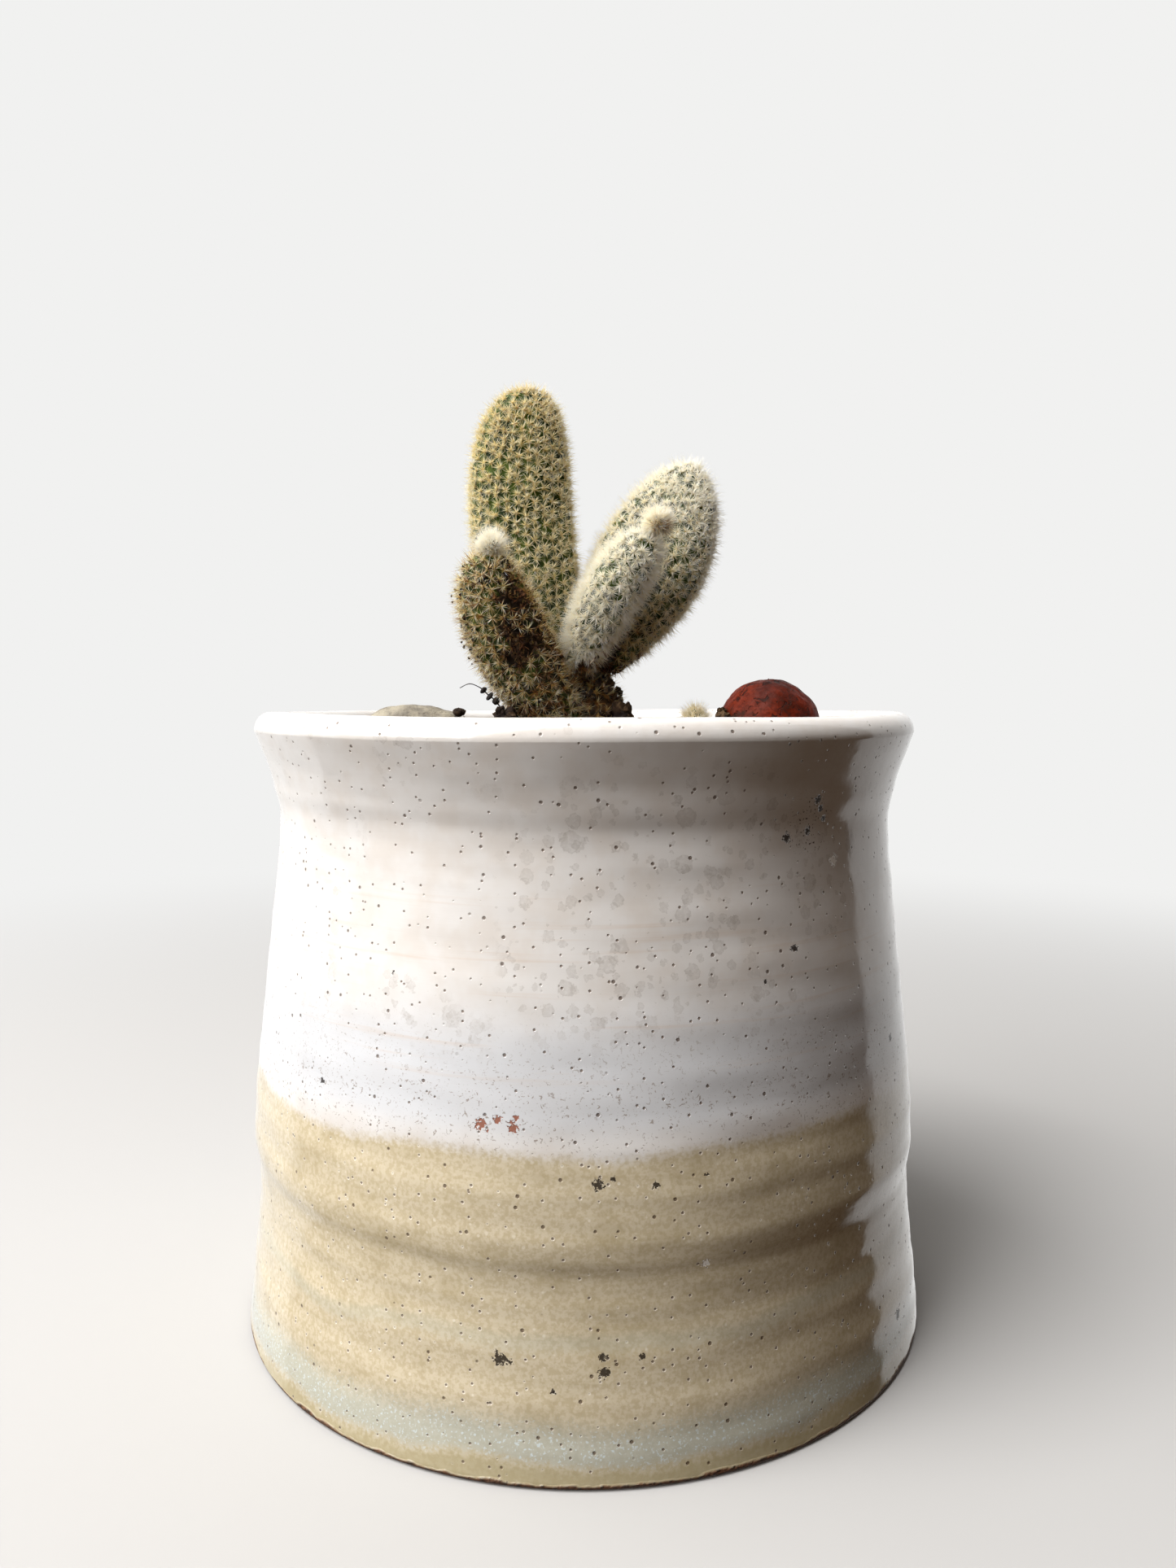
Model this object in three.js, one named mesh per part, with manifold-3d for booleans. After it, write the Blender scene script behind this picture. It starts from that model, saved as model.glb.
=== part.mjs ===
// A potted paddle cactus: four pads on a short stem, in potting soil, in a wheel-thrown stoneware pot,
// with a fired clay ball, a pebble and a few lumps of soil lying on top.
// Millimetres, +Z up. The origin is the centre of the pot's base, and -Y is the front.
import * as THREE from "three";
import { mergeVertices } from "three/addons/utils/BufferGeometryUtils.js";
import Module from "manifold-3d";

const wasm = await Module();
wasm.setup();

// ---- Driving dimensions ----

const gap = 0.3; // clearance between pieces that touch or hold each other

// Pot. Heights near the foot are measured up from the base, and those near the rim down from the rim.
const potHeight = 80;
const footRadius = 45.8;
const footEdge = 0.7;
const grooveRadius = 44.1;
const grooveHeight = 18.5;
const bellyRadius = 44.6;
const bellyHeight = 27;
const shoulderRadius = 43.1;
const shoulderDrop = 36;
const waistRadius = 40.9;
const waistDrop = 16;
const flareRadius = 41.6;
const flareDrop = 9.2;
const rimRadius = 43.9;
const lipDrop = 2.4;
const wallThickness = 4.2;
const floorThickness = 6;
const floorFillet = 6;

// Soil
const soilDrop = 7.5;
const moundHeight = 3;
const moundRadius = 26;

// Stem, with its place off the pot's axis
const stemWidth = 11.6;
const stemDepth = 10.6;
const stemRise = 12.6;
const stemBuried = 8;
const stemPlace = new THREE.Vector2(-0.1, -2);

// Roots
const rootCount = 5;
const rootThickness = 2.2;
const rootSpread = 17;
const rootDepth = 26;
const crownHeight = 5;
const crownShare = 0.6; // width of the root crown as a share of the stem's

// Pads. root is where a pad leaves the stem: shares of the stem's half width and half depth, then the
// drop from the stem's top. lean tips the pad to the right and reach tips it to the back, in degrees.
// turn swings its flat face about its own length. bow bends its middle to the right.
const pads = [
  {
    name: "pad_tall",
    length: 42.2,
    width: 14.2,
    thickness: 9.6,
    squareness: 2.7,
    taper: 0.05,
    bow: -2.3,
    root: new THREE.Vector3(-0.62, 0.2, 2.6),
    lean: -6.2,
    reach: 5.4,
    turn: 8,
  },
  {
    name: "pad_broad",
    length: 34.4,
    width: 15.3,
    thickness: 9.8,
    squareness: 1.7,
    taper: 0.2,
    bow: 0.9,
    root: new THREE.Vector3(-0.1, 0.15, 1.4),
    lean: 28.2,
    reach: 6,
    turn: -12,
  },
  {
    name: "pad_front_left",
    length: 27,
    width: 10.8,
    thickness: 8.4,
    squareness: 2.3,
    taper: 0.08,
    bow: -1.5,
    root: new THREE.Vector3(-0.26, -0.6, 8.3),
    lean: -27,
    reach: -13.8,
    turn: -20,
  },
  {
    name: "pad_front_right",
    length: 22.6,
    width: 7.2,
    thickness: 7.2,
    squareness: 2.1,
    taper: 0.3,
    bow: -0.8,
    root: new THREE.Vector3(-0.31, -0.45, 1),
    lean: 29.6,
    reach: -23,
    turn: 0,
  },
];

// Buds: a young growth at the tip of a pad, pushed on along the pad and sideways
const buds = [
  { name: "bud_front_right", pad: "pad_front_right", width: 3.6, height: 3.6, onward: -0.3, sideways: 0.1 },
  { name: "bud_front_left", pad: "pad_front_left", width: 3.8, height: 2.8, onward: -1.6, sideways: 2.1 },
];

// Clay ball
const ballDiameter = 13.4;
const ballSink = 1.5; // how far it has settled into the soil
const ballToWall = 5.7;
const ballBearing = -18; // degrees from +X

// Pebble
const pebble = { length: 8.8, width: 15.5, thickness: 11.5, squareness: 3, taper: 0, bow: 0 };
const pebbleSink = 0.5;
const pebbleToWall = 6;
const pebbleBearing = 170;

// Young offset beside the ball
const offset = { length: 10.4, width: 3.4, thickness: 3.2, squareness: 2.6, taper: -0.1, bow: 0 };
const offsetSink = 2;
const offsetToBall = 1.1;

// Dry rootlet that stands up out of the soil at the front left
const rootletThickness = 0.5;
const rootletPoints = [
  [0.1, 0.3, -1],
  [-1.6, 0.1, 0.9],
  [-2.8, -0.1, 2],
  [-3.6, -0.2, 2.6],
  [-4.9, -0.3, 2.8],
  [-5.9, -0.4, 2.3],
];
const beads = [
  { at: 0.36, width: 1.1, height: 1.4 },
  { at: 0.57, width: 0.9, height: 1.6 },
];

// ---- Materials ----

function finish(colour, roughness) {
  return new THREE.MeshStandardMaterial({ color: colour, roughness, metalness: 0 });
}

const stoneware = finish("#d8cfc2", 0.25);
const soilMatter = finish("#2b221b", 0.95);
const rootBark = finish("#a98b62", 0.85);
const dirtySkin = finish("#6a5636", 0.8);
const padSkin = finish("#8e9658", 0.7);
const budWool = finish("#e4dac0", 0.85);
const firedClay = finish("#8c3a22", 0.6);
const greyStone = finish("#b3ab9c", 0.7);
const dryFibre = finish("#241c17", 0.9);

// ---- Shapes ----

const turnedSides = 40;

// A solid turned about +Z from a profile of (radius, height) that starts and ends on the axis.
function turned(profile) {
  return new THREE.LatheGeometry(profile, turnedSides).rotateX(Math.PI / 2);
}

// Points of a round profile corner, from one angle to another in degrees.
function arc(centre, radiusOut, radiusUp, from, to, steps) {
  return Array.from({ length: steps + 1 }, (_, i) => {
    const angle = THREE.MathUtils.degToRad(THREE.MathUtils.lerp(from, to, i / steps));
    return new THREE.Vector2(centre.x + radiusOut * Math.cos(angle), centre.y + radiusUp * Math.sin(angle));
  });
}

// A fleshy body that stands on z = 0. At c, from -1 at its foot to 1 at its tip, its section is an
// ellipse of (1 - |c|^n)^(1/n) of the full width, with n the squareness, made larger toward the tip
// by the taper and moved sideways by the bow. grow makes it larger all round.
function swollen({ length, width, thickness, squareness, taper, bow }, grow = 0, sides = 16, rings = 12) {
  const geometry = new THREE.SphereGeometry(1, sides, rings).rotateX(Math.PI / 2);
  const place = geometry.getAttribute("position");
  for (let i = 0; i < place.count; i++) {
    const c = THREE.MathUtils.clamp(place.getZ(i), -1, 1);
    const round = Math.sqrt(Math.max(1 - c * c, 1e-12));
    const swell = ((1 - Math.abs(c) ** squareness) ** (1 / squareness) * (1 + taper * c)) / round;
    const x = place.getX(i) * swell * (width / 2 + grow) + bow * (1 - c * c);
    const y = place.getY(i) * swell * (thickness / 2 + grow);
    place.setXYZ(i, x, y, length / 2 + c * (length / 2 + grow));
  }
  return geometry;
}

const lumpRoughness = 0.06;

// A rough lump of soil about its own centre: a faceted ball whose radius rises and falls with place.
function lump({ width, depth, height, phase }, grow = 0) {
  const geometry = new THREE.IcosahedronGeometry(1, 2);
  const place = geometry.getAttribute("position");
  const point = new THREE.Vector3();
  const half = new THREE.Vector3(width, depth, height).multiplyScalar(0.5).addScalar(grow);
  for (let i = 0; i < place.count; i++) {
    point.fromBufferAttribute(place, i);
    const acrossWave = Math.sin(4 * point.x + phase) + Math.sin(5 * point.y + 2 * phase);
    const upWave = Math.sin(4 * point.z - phase);
    point.multiplyScalar(1 + lumpRoughness * (acrossWave + upWave)).multiply(half);
    place.setXYZ(i, point.x, point.y, point.z);
  }
  return geometry;
}

// A round bar along a curve.
function bar(curve, thickness, steps) {
  const radius = thickness / 2;
  const section = new THREE.Shape(arc(new THREE.Vector2(), radius, radius, 0, 360, 6).slice(0, -1));
  return new THREE.ExtrudeGeometry(section, { steps, bevelEnabled: false, extrudePath: curve });
}

// The matrix that stands a body on a point, tipped by lean and reach and turned about its length.
function standing(point, lean = 0, reach = 0, turn = 0) {
  const [right, back, spin] = [lean, reach, turn].map(THREE.MathUtils.degToRad);
  const up = new THREE.Vector3(Math.tan(right), Math.tan(back), 1).normalize();
  const across = new THREE.Vector3(0, 1, 0).cross(up).normalize();
  const basis = new THREE.Matrix4().makeBasis(across, up.clone().cross(across), up);
  const turned = new THREE.Matrix4().makeRotationZ(spin);
  return new THREE.Matrix4().makeTranslation(point).multiply(basis).multiply(turned);
}

// ---- Solids and booleans ----

function toSolid(geometry, matrix = new THREE.Matrix4()) {
  const bare = new THREE.BufferGeometry();
  const source = geometry.index ? geometry.toNonIndexed() : geometry;
  bare.setAttribute("position", source.getAttribute("position").clone());
  const merged = mergeVertices(bare.applyMatrix4(matrix), 1e-3);
  const mesh = new wasm.Mesh({
    numProp: 3,
    vertProperties: merged.getAttribute("position").array,
    triVerts: new Uint32Array(merged.index.array),
  });
  return new wasm.Manifold(mesh);
}

function toGeometry(solid) {
  const { vertProperties, triVerts } = solid.getMesh();
  const geometry = new THREE.BufferGeometry();
  geometry.setAttribute("position", new THREE.BufferAttribute(vertProperties, 3));
  geometry.setIndex(new THREE.BufferAttribute(triVerts, 1));
  geometry.computeVertexNormals();
  return geometry;
}

function cutBy(solid, cutters) {
  return cutters.reduce((rest, cutter) => rest.subtract(cutter), solid);
}

function part(name, geometry, material) {
  const mesh = new THREE.Mesh(geometry, material);
  mesh.name = name;
  return mesh;
}

// ---- Pot ----

const outerWall = new THREE.SplineCurve([
  new THREE.Vector2(footRadius, footEdge),
  new THREE.Vector2(grooveRadius, grooveHeight),
  new THREE.Vector2(bellyRadius, bellyHeight),
  new THREE.Vector2(shoulderRadius, potHeight - shoulderDrop),
  new THREE.Vector2(waistRadius, potHeight - waistDrop),
  new THREE.Vector2(flareRadius, potHeight - flareDrop),
  new THREE.Vector2(rimRadius, potHeight - lipDrop),
]).getPoints(18);

const innerFoot = floorThickness + floorFillet;
const innerWall = outerWall
  .filter((point) => point.y > innerFoot)
  .map((point) => new THREE.Vector2(point.x - wallThickness, point.y));

// Radius of the inner wall at a height, along the straight runs between its profile points.
function innerRadius(height) {
  const above = innerWall.findIndex((point) => point.y >= height);
  const [low, high] = [innerWall[above - 1], innerWall[above]];
  return THREE.MathUtils.mapLinear(height, low.y, high.y, low.x, high.x);
}

// The round corner between floor and wall, drawn in by a clearance.
function innerCorner(clearance) {
  const centre = new THREE.Vector2(innerWall[0].x - floorFillet, innerFoot);
  return arc(centre, floorFillet - clearance, floorFillet - clearance, -90, 0, 4);
}

function potGeometry() {
  const lipCentre = new THREE.Vector2(rimRadius - wallThickness / 2, potHeight - lipDrop);
  const lip = arc(lipCentre, wallThickness / 2, lipDrop, 0, 180, 6);
  return turned([
    new THREE.Vector2(0, 0),
    new THREE.Vector2(footRadius - footEdge, 0),
    ...outerWall.slice(0, -1),
    ...lip,
    ...innerWall.slice(0, -1).reverse(),
    ...innerCorner(0).reverse(),
    new THREE.Vector2(0, floorThickness),
  ]);
}

const potGroup = new THREE.Group();
potGroup.add(part("pot", potGeometry(), stoneware));

// ---- Plant, about a point where the stem leaves the level of the soil at the pot's wall ----

const soilLevel = potHeight - soilDrop;
const plant = new THREE.Group();
plant.position.set(stemPlace.x, stemPlace.y, soilLevel);
plant.updateMatrix();

const stemShape = {
  length: stemRise + stemBuried,
  width: stemWidth,
  thickness: stemDepth,
  squareness: 2.8,
  taper: 0.05,
  bow: 0,
};
const stemFoot = new THREE.Vector3(0, 0, -stemBuried);

function stemSolid(grow = 0) {
  return toSolid(swollen(stemShape, grow), standing(stemFoot));
}

// Roots spread from a crown under the stem like the ribs of an umbrella, each with its own bearing,
// spread and depth, and twist a little as they go down. grow thickens them and carries them on past
// their tips.
function rootCurve(index, top, grow) {
  const bearing = ((index + 0.3 * Math.sin(3 * index)) * 2 * Math.PI) / rootCount;
  const spread = rootSpread * (0.8 + 0.2 * Math.cos(2.3 * index));
  const depth = rootDepth * (0.85 + 0.15 * Math.sin(1.7 * index));
  const along = (share, drop) => {
    const angle = bearing + 0.4 * drop;
    return new THREE.Vector3(
      spread * share * Math.cos(angle),
      spread * share * Math.sin(angle),
      top - depth * drop,
    );
  };
  const end = 1 + (2 * grow) / depth;
  return new THREE.CatmullRomCurve3([along(0.05, 0), along(0.4, 0.25), along(0.75, 0.6), along(end, end)]);
}

function rootsSolid(grow = 0) {
  const crown = {
    ...stemShape,
    length: crownHeight,
    width: stemWidth * crownShare,
    thickness: stemDepth * crownShare,
  };
  const crownFoot = new THREE.Vector3(0, 0, -stemBuried - gap - crownHeight);
  const fibres = Array.from({ length: rootCount }, (_, i) =>
    toSolid(bar(rootCurve(i, crownFoot.z + crownHeight / 2, grow), rootThickness + 2 * grow, 6)),
  );
  const body = toSolid(swollen(crown, grow, 10, 6), standing(crownFoot));
  return fibres.reduce((joined, fibre) => joined.add(fibre), body);
}

function padMatrix({ root, lean, reach, turn }) {
  const foot = new THREE.Vector3((root.x * stemWidth) / 2, (root.y * stemDepth) / 2, stemRise - root.z);
  return standing(foot, lean, reach, turn);
}

function padSolid(pad, grow = 0) {
  return toSolid(swollen(pad, grow), padMatrix(pad));
}

// Each pad gives way to the stem and to the pads listed before it.
const held = [stemSolid(gap)];
plant.add(part("stem_base", toGeometry(stemSolid()), dirtySkin));
plant.add(part("roots", toGeometry(rootsSolid()), rootBark));
for (const pad of pads) {
  plant.add(part(pad.name, toGeometry(cutBy(padSolid(pad), held)), padSkin));
  held.push(padSolid(pad, gap));
}

for (const bud of buds) {
  const pad = pads.find((each) => each.name === bud.pad);
  const shape = {
    length: bud.height,
    width: bud.width,
    thickness: bud.width,
    squareness: 2,
    taper: 0,
    bow: 0,
  };
  const seat = new THREE.Vector3(bud.sideways, 0, pad.length + bud.onward);
  const matrix = padMatrix(pad).multiply(new THREE.Matrix4().makeTranslation(seat));
  const body = toSolid(swollen(shape, 0, 12, 8), matrix);
  plant.add(part(bud.name, toGeometry(cutBy(body, held)), budWool));
}

// ---- What lies on the soil ----

// A point at a bearing, a distance in from the inner wall at the soil's level, sunk into the soil.
function nearWall(distance, bearing, sink) {
  const radius = innerRadius(soilLevel) - distance;
  const angle = THREE.MathUtils.degToRad(bearing);
  return new THREE.Vector3(radius * Math.cos(angle), radius * Math.sin(angle), soilLevel - sink);
}

const ballFoot = nearWall(ballToWall + ballDiameter / 2, ballBearing, ballSink);
const ballShape = {
  length: ballDiameter,
  width: ballDiameter,
  thickness: ballDiameter,
  squareness: 2,
  taper: 0,
  bow: 0,
};
const pebbleFoot = nearWall(pebbleToWall + pebble.width / 2, pebbleBearing, pebbleSink);
const offsetFoot = new THREE.Vector3(
  ballFoot.x - ballDiameter / 2 - offsetToBall - offset.width / 2,
  ballFoot.y,
  soilLevel - offsetSink,
);

// Lumps of soil: one against the ball, one on each side of the stem, and a crumb on the pebble
const lumps = [
  {
    name: "soil_lump_by_ball",
    width: 3.2,
    depth: 4.4,
    height: 8.6,
    phase: 0.4,
    centre: new THREE.Vector3(ballFoot.x - ballDiameter / 2 + 0.6, ballFoot.y - 2.8, soilLevel + 3.8),
  },
  {
    name: "soil_lump_right",
    width: 4.6,
    depth: 6,
    height: 7.6,
    phase: 1.7,
    centre: new THREE.Vector3(stemPlace.x + stemWidth / 2 - 1, stemPlace.y - 2.8, soilLevel + 4.6),
  },
  {
    name: "soil_lump_left",
    width: 4,
    depth: 4,
    height: 7.6,
    phase: 2.9,
    centre: new THREE.Vector3(stemPlace.x - stemWidth / 2 - 4.2, stemPlace.y - 6.6, soilLevel + 4.4),
  },
  {
    name: "soil_crumb_on_pebble",
    width: 1.8,
    depth: 1.8,
    height: 1.3,
    phase: 4.1,
    centre: pebbleFoot.clone().add(new THREE.Vector3(pebble.width * 0.4, -2, pebble.length - 1)),
  },
];

const lying = {
  ball: (grow) => toSolid(swollen(ballShape, grow, 18, 12), standing(ballFoot)),
  pebble: (grow) => toSolid(swollen(pebble, grow, 18, 10), standing(pebbleFoot)),
  offset: (grow) => toSolid(swollen(offset, grow, 12, 8), standing(offsetFoot)),
};
const lumpSolid = (each, grow = 0) =>
  toSolid(lump(each, grow), new THREE.Matrix4().makeTranslation(each.centre));

const dressing = new THREE.Group();
dressing.add(part("clay_ball", toGeometry(lying.ball(0)), firedClay));
dressing.add(part("grey_pebble", toGeometry(lying.pebble(0)), greyStone));
dressing.add(part("young_offset", toGeometry(lying.offset(0)), budWool));

// The plant's pieces in the pot's frame, each with its clearance
const plantHeld = [stemSolid, rootsSolid, ...pads.map((pad) => (grow) => padSolid(pad, grow))]
  .map((make) => toSolid(toGeometry(make(gap)), plant.matrix));
const lyingHeld = Object.values(lying).map((make) => make(gap));

for (const each of lumps) {
  const body = cutBy(lumpSolid(each), [...plantHeld, ...lyingHeld]);
  dressing.add(part(each.name, toGeometry(body), soilMatter));
}

// ---- Dry rootlet, growing from the top of the left lump ----

const leftLump = lumps.find((each) => each.name === "soil_lump_left");
const rootletStart = leftLump.centre.clone().add(new THREE.Vector3(0, 0, leftLump.height / 2));

function rootletSolid() {
  const curve = new THREE.CatmullRomCurve3(
    rootletPoints.map((point) => new THREE.Vector3(...point).add(rootletStart)),
  );
  return beads.reduce((joined, bead) => {
    const shape = { ...ballShape, length: bead.height, width: bead.width, thickness: bead.width };
    const foot = curve.getPointAt(bead.at).sub(new THREE.Vector3(0, 0, bead.height / 2));
    return joined.add(toSolid(swollen(shape, 0, 8, 6), standing(foot)));
  }, toSolid(bar(curve, rootletThickness, 12)));
}

const rootlet = cutBy(rootletSolid(), [...plantHeld, lumpSolid(leftLump, gap)]);
dressing.add(part("dry_rootlet", toGeometry(rootlet), dryFibre));

// ---- Soil, which fills the pot to its level and heaps up a little about the stem ----

function soilGeometry() {
  const side = innerWall
    .filter((point) => point.y < soilLevel)
    .map((point) => new THREE.Vector2(point.x - gap, point.y));
  const moundSteps = 5;
  const mound = Array.from({ length: moundSteps + 1 }, (_, i) => {
    const radius = moundRadius * (1 - i / moundSteps);
    const rise = (moundHeight / 2) * (1 + Math.cos((Math.PI * radius) / moundRadius));
    return new THREE.Vector2(radius, soilLevel + rise);
  });
  return turned([
    new THREE.Vector2(0, floorThickness + gap),
    ...innerCorner(gap),
    ...side,
    new THREE.Vector2(innerRadius(soilLevel) - gap, soilLevel),
    ...mound,
  ]);
}

const soilCutters = [...plantHeld, ...lyingHeld, ...lumps.map((each) => lumpSolid(each, gap))];
const soilGroup = new THREE.Group();
soilGroup.add(part("potting_soil", toGeometry(cutBy(toSolid(soilGeometry()), soilCutters)), soilMatter));

// ---- The whole object ----

const pottedCactus = new THREE.Group();
pottedCactus.name = "potted_paddle_cactus";
pottedCactus.add(potGroup, soilGroup, plant, dressing);

export default pottedCactus;
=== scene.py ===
import math
from functools import partial

import bpy
import numpy as np
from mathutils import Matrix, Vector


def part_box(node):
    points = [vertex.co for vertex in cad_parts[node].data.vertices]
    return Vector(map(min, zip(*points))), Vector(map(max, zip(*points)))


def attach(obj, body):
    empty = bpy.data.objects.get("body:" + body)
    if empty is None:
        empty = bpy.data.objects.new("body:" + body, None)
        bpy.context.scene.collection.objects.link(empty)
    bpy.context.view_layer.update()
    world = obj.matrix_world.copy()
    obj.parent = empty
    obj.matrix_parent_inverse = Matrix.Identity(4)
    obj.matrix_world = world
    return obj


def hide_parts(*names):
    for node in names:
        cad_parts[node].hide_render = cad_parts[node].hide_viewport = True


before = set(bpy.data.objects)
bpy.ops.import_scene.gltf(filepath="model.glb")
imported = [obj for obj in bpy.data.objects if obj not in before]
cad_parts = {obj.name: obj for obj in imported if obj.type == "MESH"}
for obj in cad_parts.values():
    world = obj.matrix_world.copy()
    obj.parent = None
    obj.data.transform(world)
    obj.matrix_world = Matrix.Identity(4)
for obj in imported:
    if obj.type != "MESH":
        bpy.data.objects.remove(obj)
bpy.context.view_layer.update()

mm = 0.001
body = "root"

# The shapes below are in millimetres, and become metres when their mesh is made.


def boxOf(node):
    # a CAD node's lowest corner, highest corner, middle and size, in millimetres
    low, high = (np.array(corner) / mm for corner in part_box(node))
    return low, high, (low + high) / 2, high - low


def inBox(node, x, y, z):
    # the point at shares of a CAD node's box
    low, high, middle, size = boxOf(node)
    return low + size * (x, y, z)


def linear(hexColour):
    # sRGB to linear: a straight line near black and a power of 2.4 above it
    channels = np.array([int(hexColour[i:i + 2], 16) for i in (1, 3, 5)]) / 255
    curve = np.where(channels <= 0.04045, channels / 12.92, ((channels + 0.055) / 1.055) ** 2.4)
    return (*curve.tolist(), 1.0)


def smoothStep(values, start, end):
    # 0 before start and 1 after end, with an S curve between
    share = np.clip((values - start) / (end - start), 0, 1)
    return share * share * (3 - 2 * share)


def smoothThrough(points, count):
    # a curve through points: between two of them, the cubic whose slope at each is half the step
    # from the point before to the point after
    points = np.asarray(points, float)
    ends = np.vstack([points[:1], points, points[-1:]])
    slopes = (ends[2:] - ends[:-2]) / 2
    along = np.linspace(0, len(points) - 1, count)
    first = np.minimum(along.astype(int), len(points) - 2)
    share = (along - first)[:, None]
    start, stop = points[first], points[first + 1]
    leave, arrive = slopes[first], slopes[first + 1]
    bend = 3 * (stop - start) - 2 * leave - arrive
    return start + leave * share + bend * share ** 2 + (2 * (start - stop) + leave + arrive) * share ** 3


def ripple(points, length, seed):
    # smooth unevenness from -1 to 1: seven sine waves in fixed random directions, added and eased
    # into range, with crests about one length apart
    rng = np.random.default_rng(seed)
    directions = rng.normal(size=(7, 3))
    directions /= np.linalg.norm(directions, axis=1, keepdims=True)
    waves = directions * (2 * math.pi / (length * rng.uniform(0.7, 1.4, (7, 1))))
    return np.tanh(np.sin(points @ waves.T + rng.uniform(0, 2 * math.pi, 7)).mean(1) * 2.2)


def ripples(points, parts, seed):
    # ripples of several sizes added, each a share and a length, with seeds that count up
    flat = points.reshape(-1, 3)
    return sum(share * ripple(flat, length, seed + i) for i, (share, length) in enumerate(parts))


def unit(vectors):
    # each vector over its own length
    return vectors / np.maximum(np.linalg.norm(vectors, axis=-1, keepdims=True), 1e-9)


def nearest(points, centres):
    # distance from each point to the closest centre, worked out a few thousand points at a time
    found = [np.sqrt(((block[:, None] - centres[None]) ** 2).sum(2).min(1))
             for block in np.array_split(points, max(1, len(points) * len(centres) // 3000000))]
    return np.concatenate(found)


# A shape is a pair of points and a list of face arrays.


def shellShape(rings, startPole, endPole):
    # rings of points around an axis, joined by quads, with a fan of triangles to a pole at each end;
    # faces point out where the rings run anticlockwise seen from the end pole
    rows, columns = rings.shape[:2]
    index = np.arange(rows * columns).reshape(rows, columns)
    beside = np.roll(index, -1, axis=1)
    quads = np.stack([index[:-1], beside[:-1], beside[1:], index[1:]], -1).reshape(-1, 4)
    start = np.stack([np.full(columns, rows * columns), beside[0], index[0]], -1)
    end = np.stack([np.full(columns, rows * columns + 1), index[-1], beside[-1]], -1)
    points = np.vstack([rings.reshape(-1, 3), startPole, endPole])
    return points, [quads, start, end]


def joined(shapes):
    # several shapes as one, with each shape's face numbers moved past the points before it
    offset, points, faces = 0, [], []
    for shapePoints, shapeFaces in shapes:
        faces += [each + offset for each in shapeFaces]
        points.append(shapePoints)
        offset += len(shapePoints)
    return np.vstack(points), faces


def addPiece(name, shape, material, replaced=(), smooth=True, values=None, uv=None):
    # a shape as a mesh that rides the frame; values are named numbers at the points, and uv is one
    # pair per face corner
    points, faces = shape
    mesh = bpy.data.meshes.new(name)
    sizes = np.concatenate([np.full(len(each), each.shape[1]) for each in faces])
    corners = np.concatenate([each.ravel() for each in faces])
    mesh.vertices.add(len(points))
    mesh.vertices.foreach_set("co", (points * mm).astype(np.float32).ravel())
    mesh.loops.add(len(corners))
    mesh.loops.foreach_set("vertex_index", corners.astype(np.int32))
    mesh.polygons.add(len(sizes))
    mesh.polygons.foreach_set("loop_start", (np.cumsum(sizes) - sizes).astype(np.int32))
    mesh.update(calc_edges=True)
    mesh.polygons.foreach_set("use_smooth", np.full(len(sizes), smooth))
    for key, numbers in (values or {}).items():
        layer = mesh.attributes.new(key, "FLOAT", "POINT")
        layer.data.foreach_set("value", numbers.astype(np.float32))
    if uv is not None:
        layer = mesh.uv_layers.new(name="OFBake")
        layer.uv.foreach_set("vector", uv.astype(np.float32).ravel())
    mesh.materials.append(material)
    piece = bpy.data.objects.new(name, mesh)
    bpy.context.scene.collection.objects.link(piece)
    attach(piece, body)
    if replaced:
        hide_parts(*replaced)
    print(f"{name}: {int((sizes - 2).sum())} triangles")


# settings that many nodes share
soft = {"interpolation_type": "SMOOTHSTEP"}
rgba = {"data_type": "RGBA"}
times, plus, most = ({"operation": name} for name in ("MULTIPLY", "ADD", "MAXIMUM"))
timesPlus = {"operation": "MULTIPLY_ADD"}


def fill(node, inputs):
    # a node's inputs, by name or by their place among those in use: another node's output is linked,
    # and a number, a list or a hex colour is set on the socket
    inUse = [socket for socket in node.inputs if socket.enabled]
    for key, value in inputs.items():
        socket = inUse[key] if isinstance(key, int) else node.inputs[key.replace("_", " ")]
        if isinstance(value, bpy.types.NodeSocket):
            node.id_data.links.new(value, socket)
        else:
            socket.default_value = linear(value) if isinstance(value, str) else value


def addNode(tree, kind, *inputs, output=None, **named):
    # one node with its settings and links: inputs fill its sockets in order, and a name is a setting
    # where the node has one and a socket where it hasn't; it gives back the node's output of that
    # name, or the first in use
    node = tree.nodes.new("ShaderNode" + kind)
    settings = [key for key in named if hasattr(node, key)]
    for key in settings:
        setattr(node, key, named.pop(key))
    fill(node, dict(enumerate(inputs)) | named)
    if node.outputs:
        return node.outputs[output] if output else next(each for each in node.outputs if each.enabled)


def setShader(material, **sockets):
    # the sockets of a material's base shader, as numbers to set or outputs to link
    fill(material.node_tree.nodes["Principled BSDF"], sockets)
    return material


def startMaterial(name, **constants):
    # a material with one base shader, whose constants go straight on its sockets, and what adds a
    # node to it
    material = bpy.data.materials.new(name)
    material.use_nodes = True
    return setShader(material, **constants), partial(addNode, material.node_tree)


def placeIn(add, scale=(1, 1, 1)):
    # the object's coordinates in millimetres, times a scale along each axis
    return add("Mapping", add("TexCoord", output="Object"), Scale=[part / mm for part in scale])


def tint(add, colour, tone, source, start, end, share=1.0):
    # lays a tone over a colour: none where the source is at start, and its share where it is at end
    return add("Mix", add("MapRange", source, start, end, 0, share, **soft), colour, tone, **rgba)


def band(add, source, rise, fall, share=1.0):
    # a share between two soft edges of a source, and 0 outside them
    return add("Math", add("MapRange", source, *rise, **soft),
               add("MapRange", source, *fall, 0, share, **soft), **times)


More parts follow.
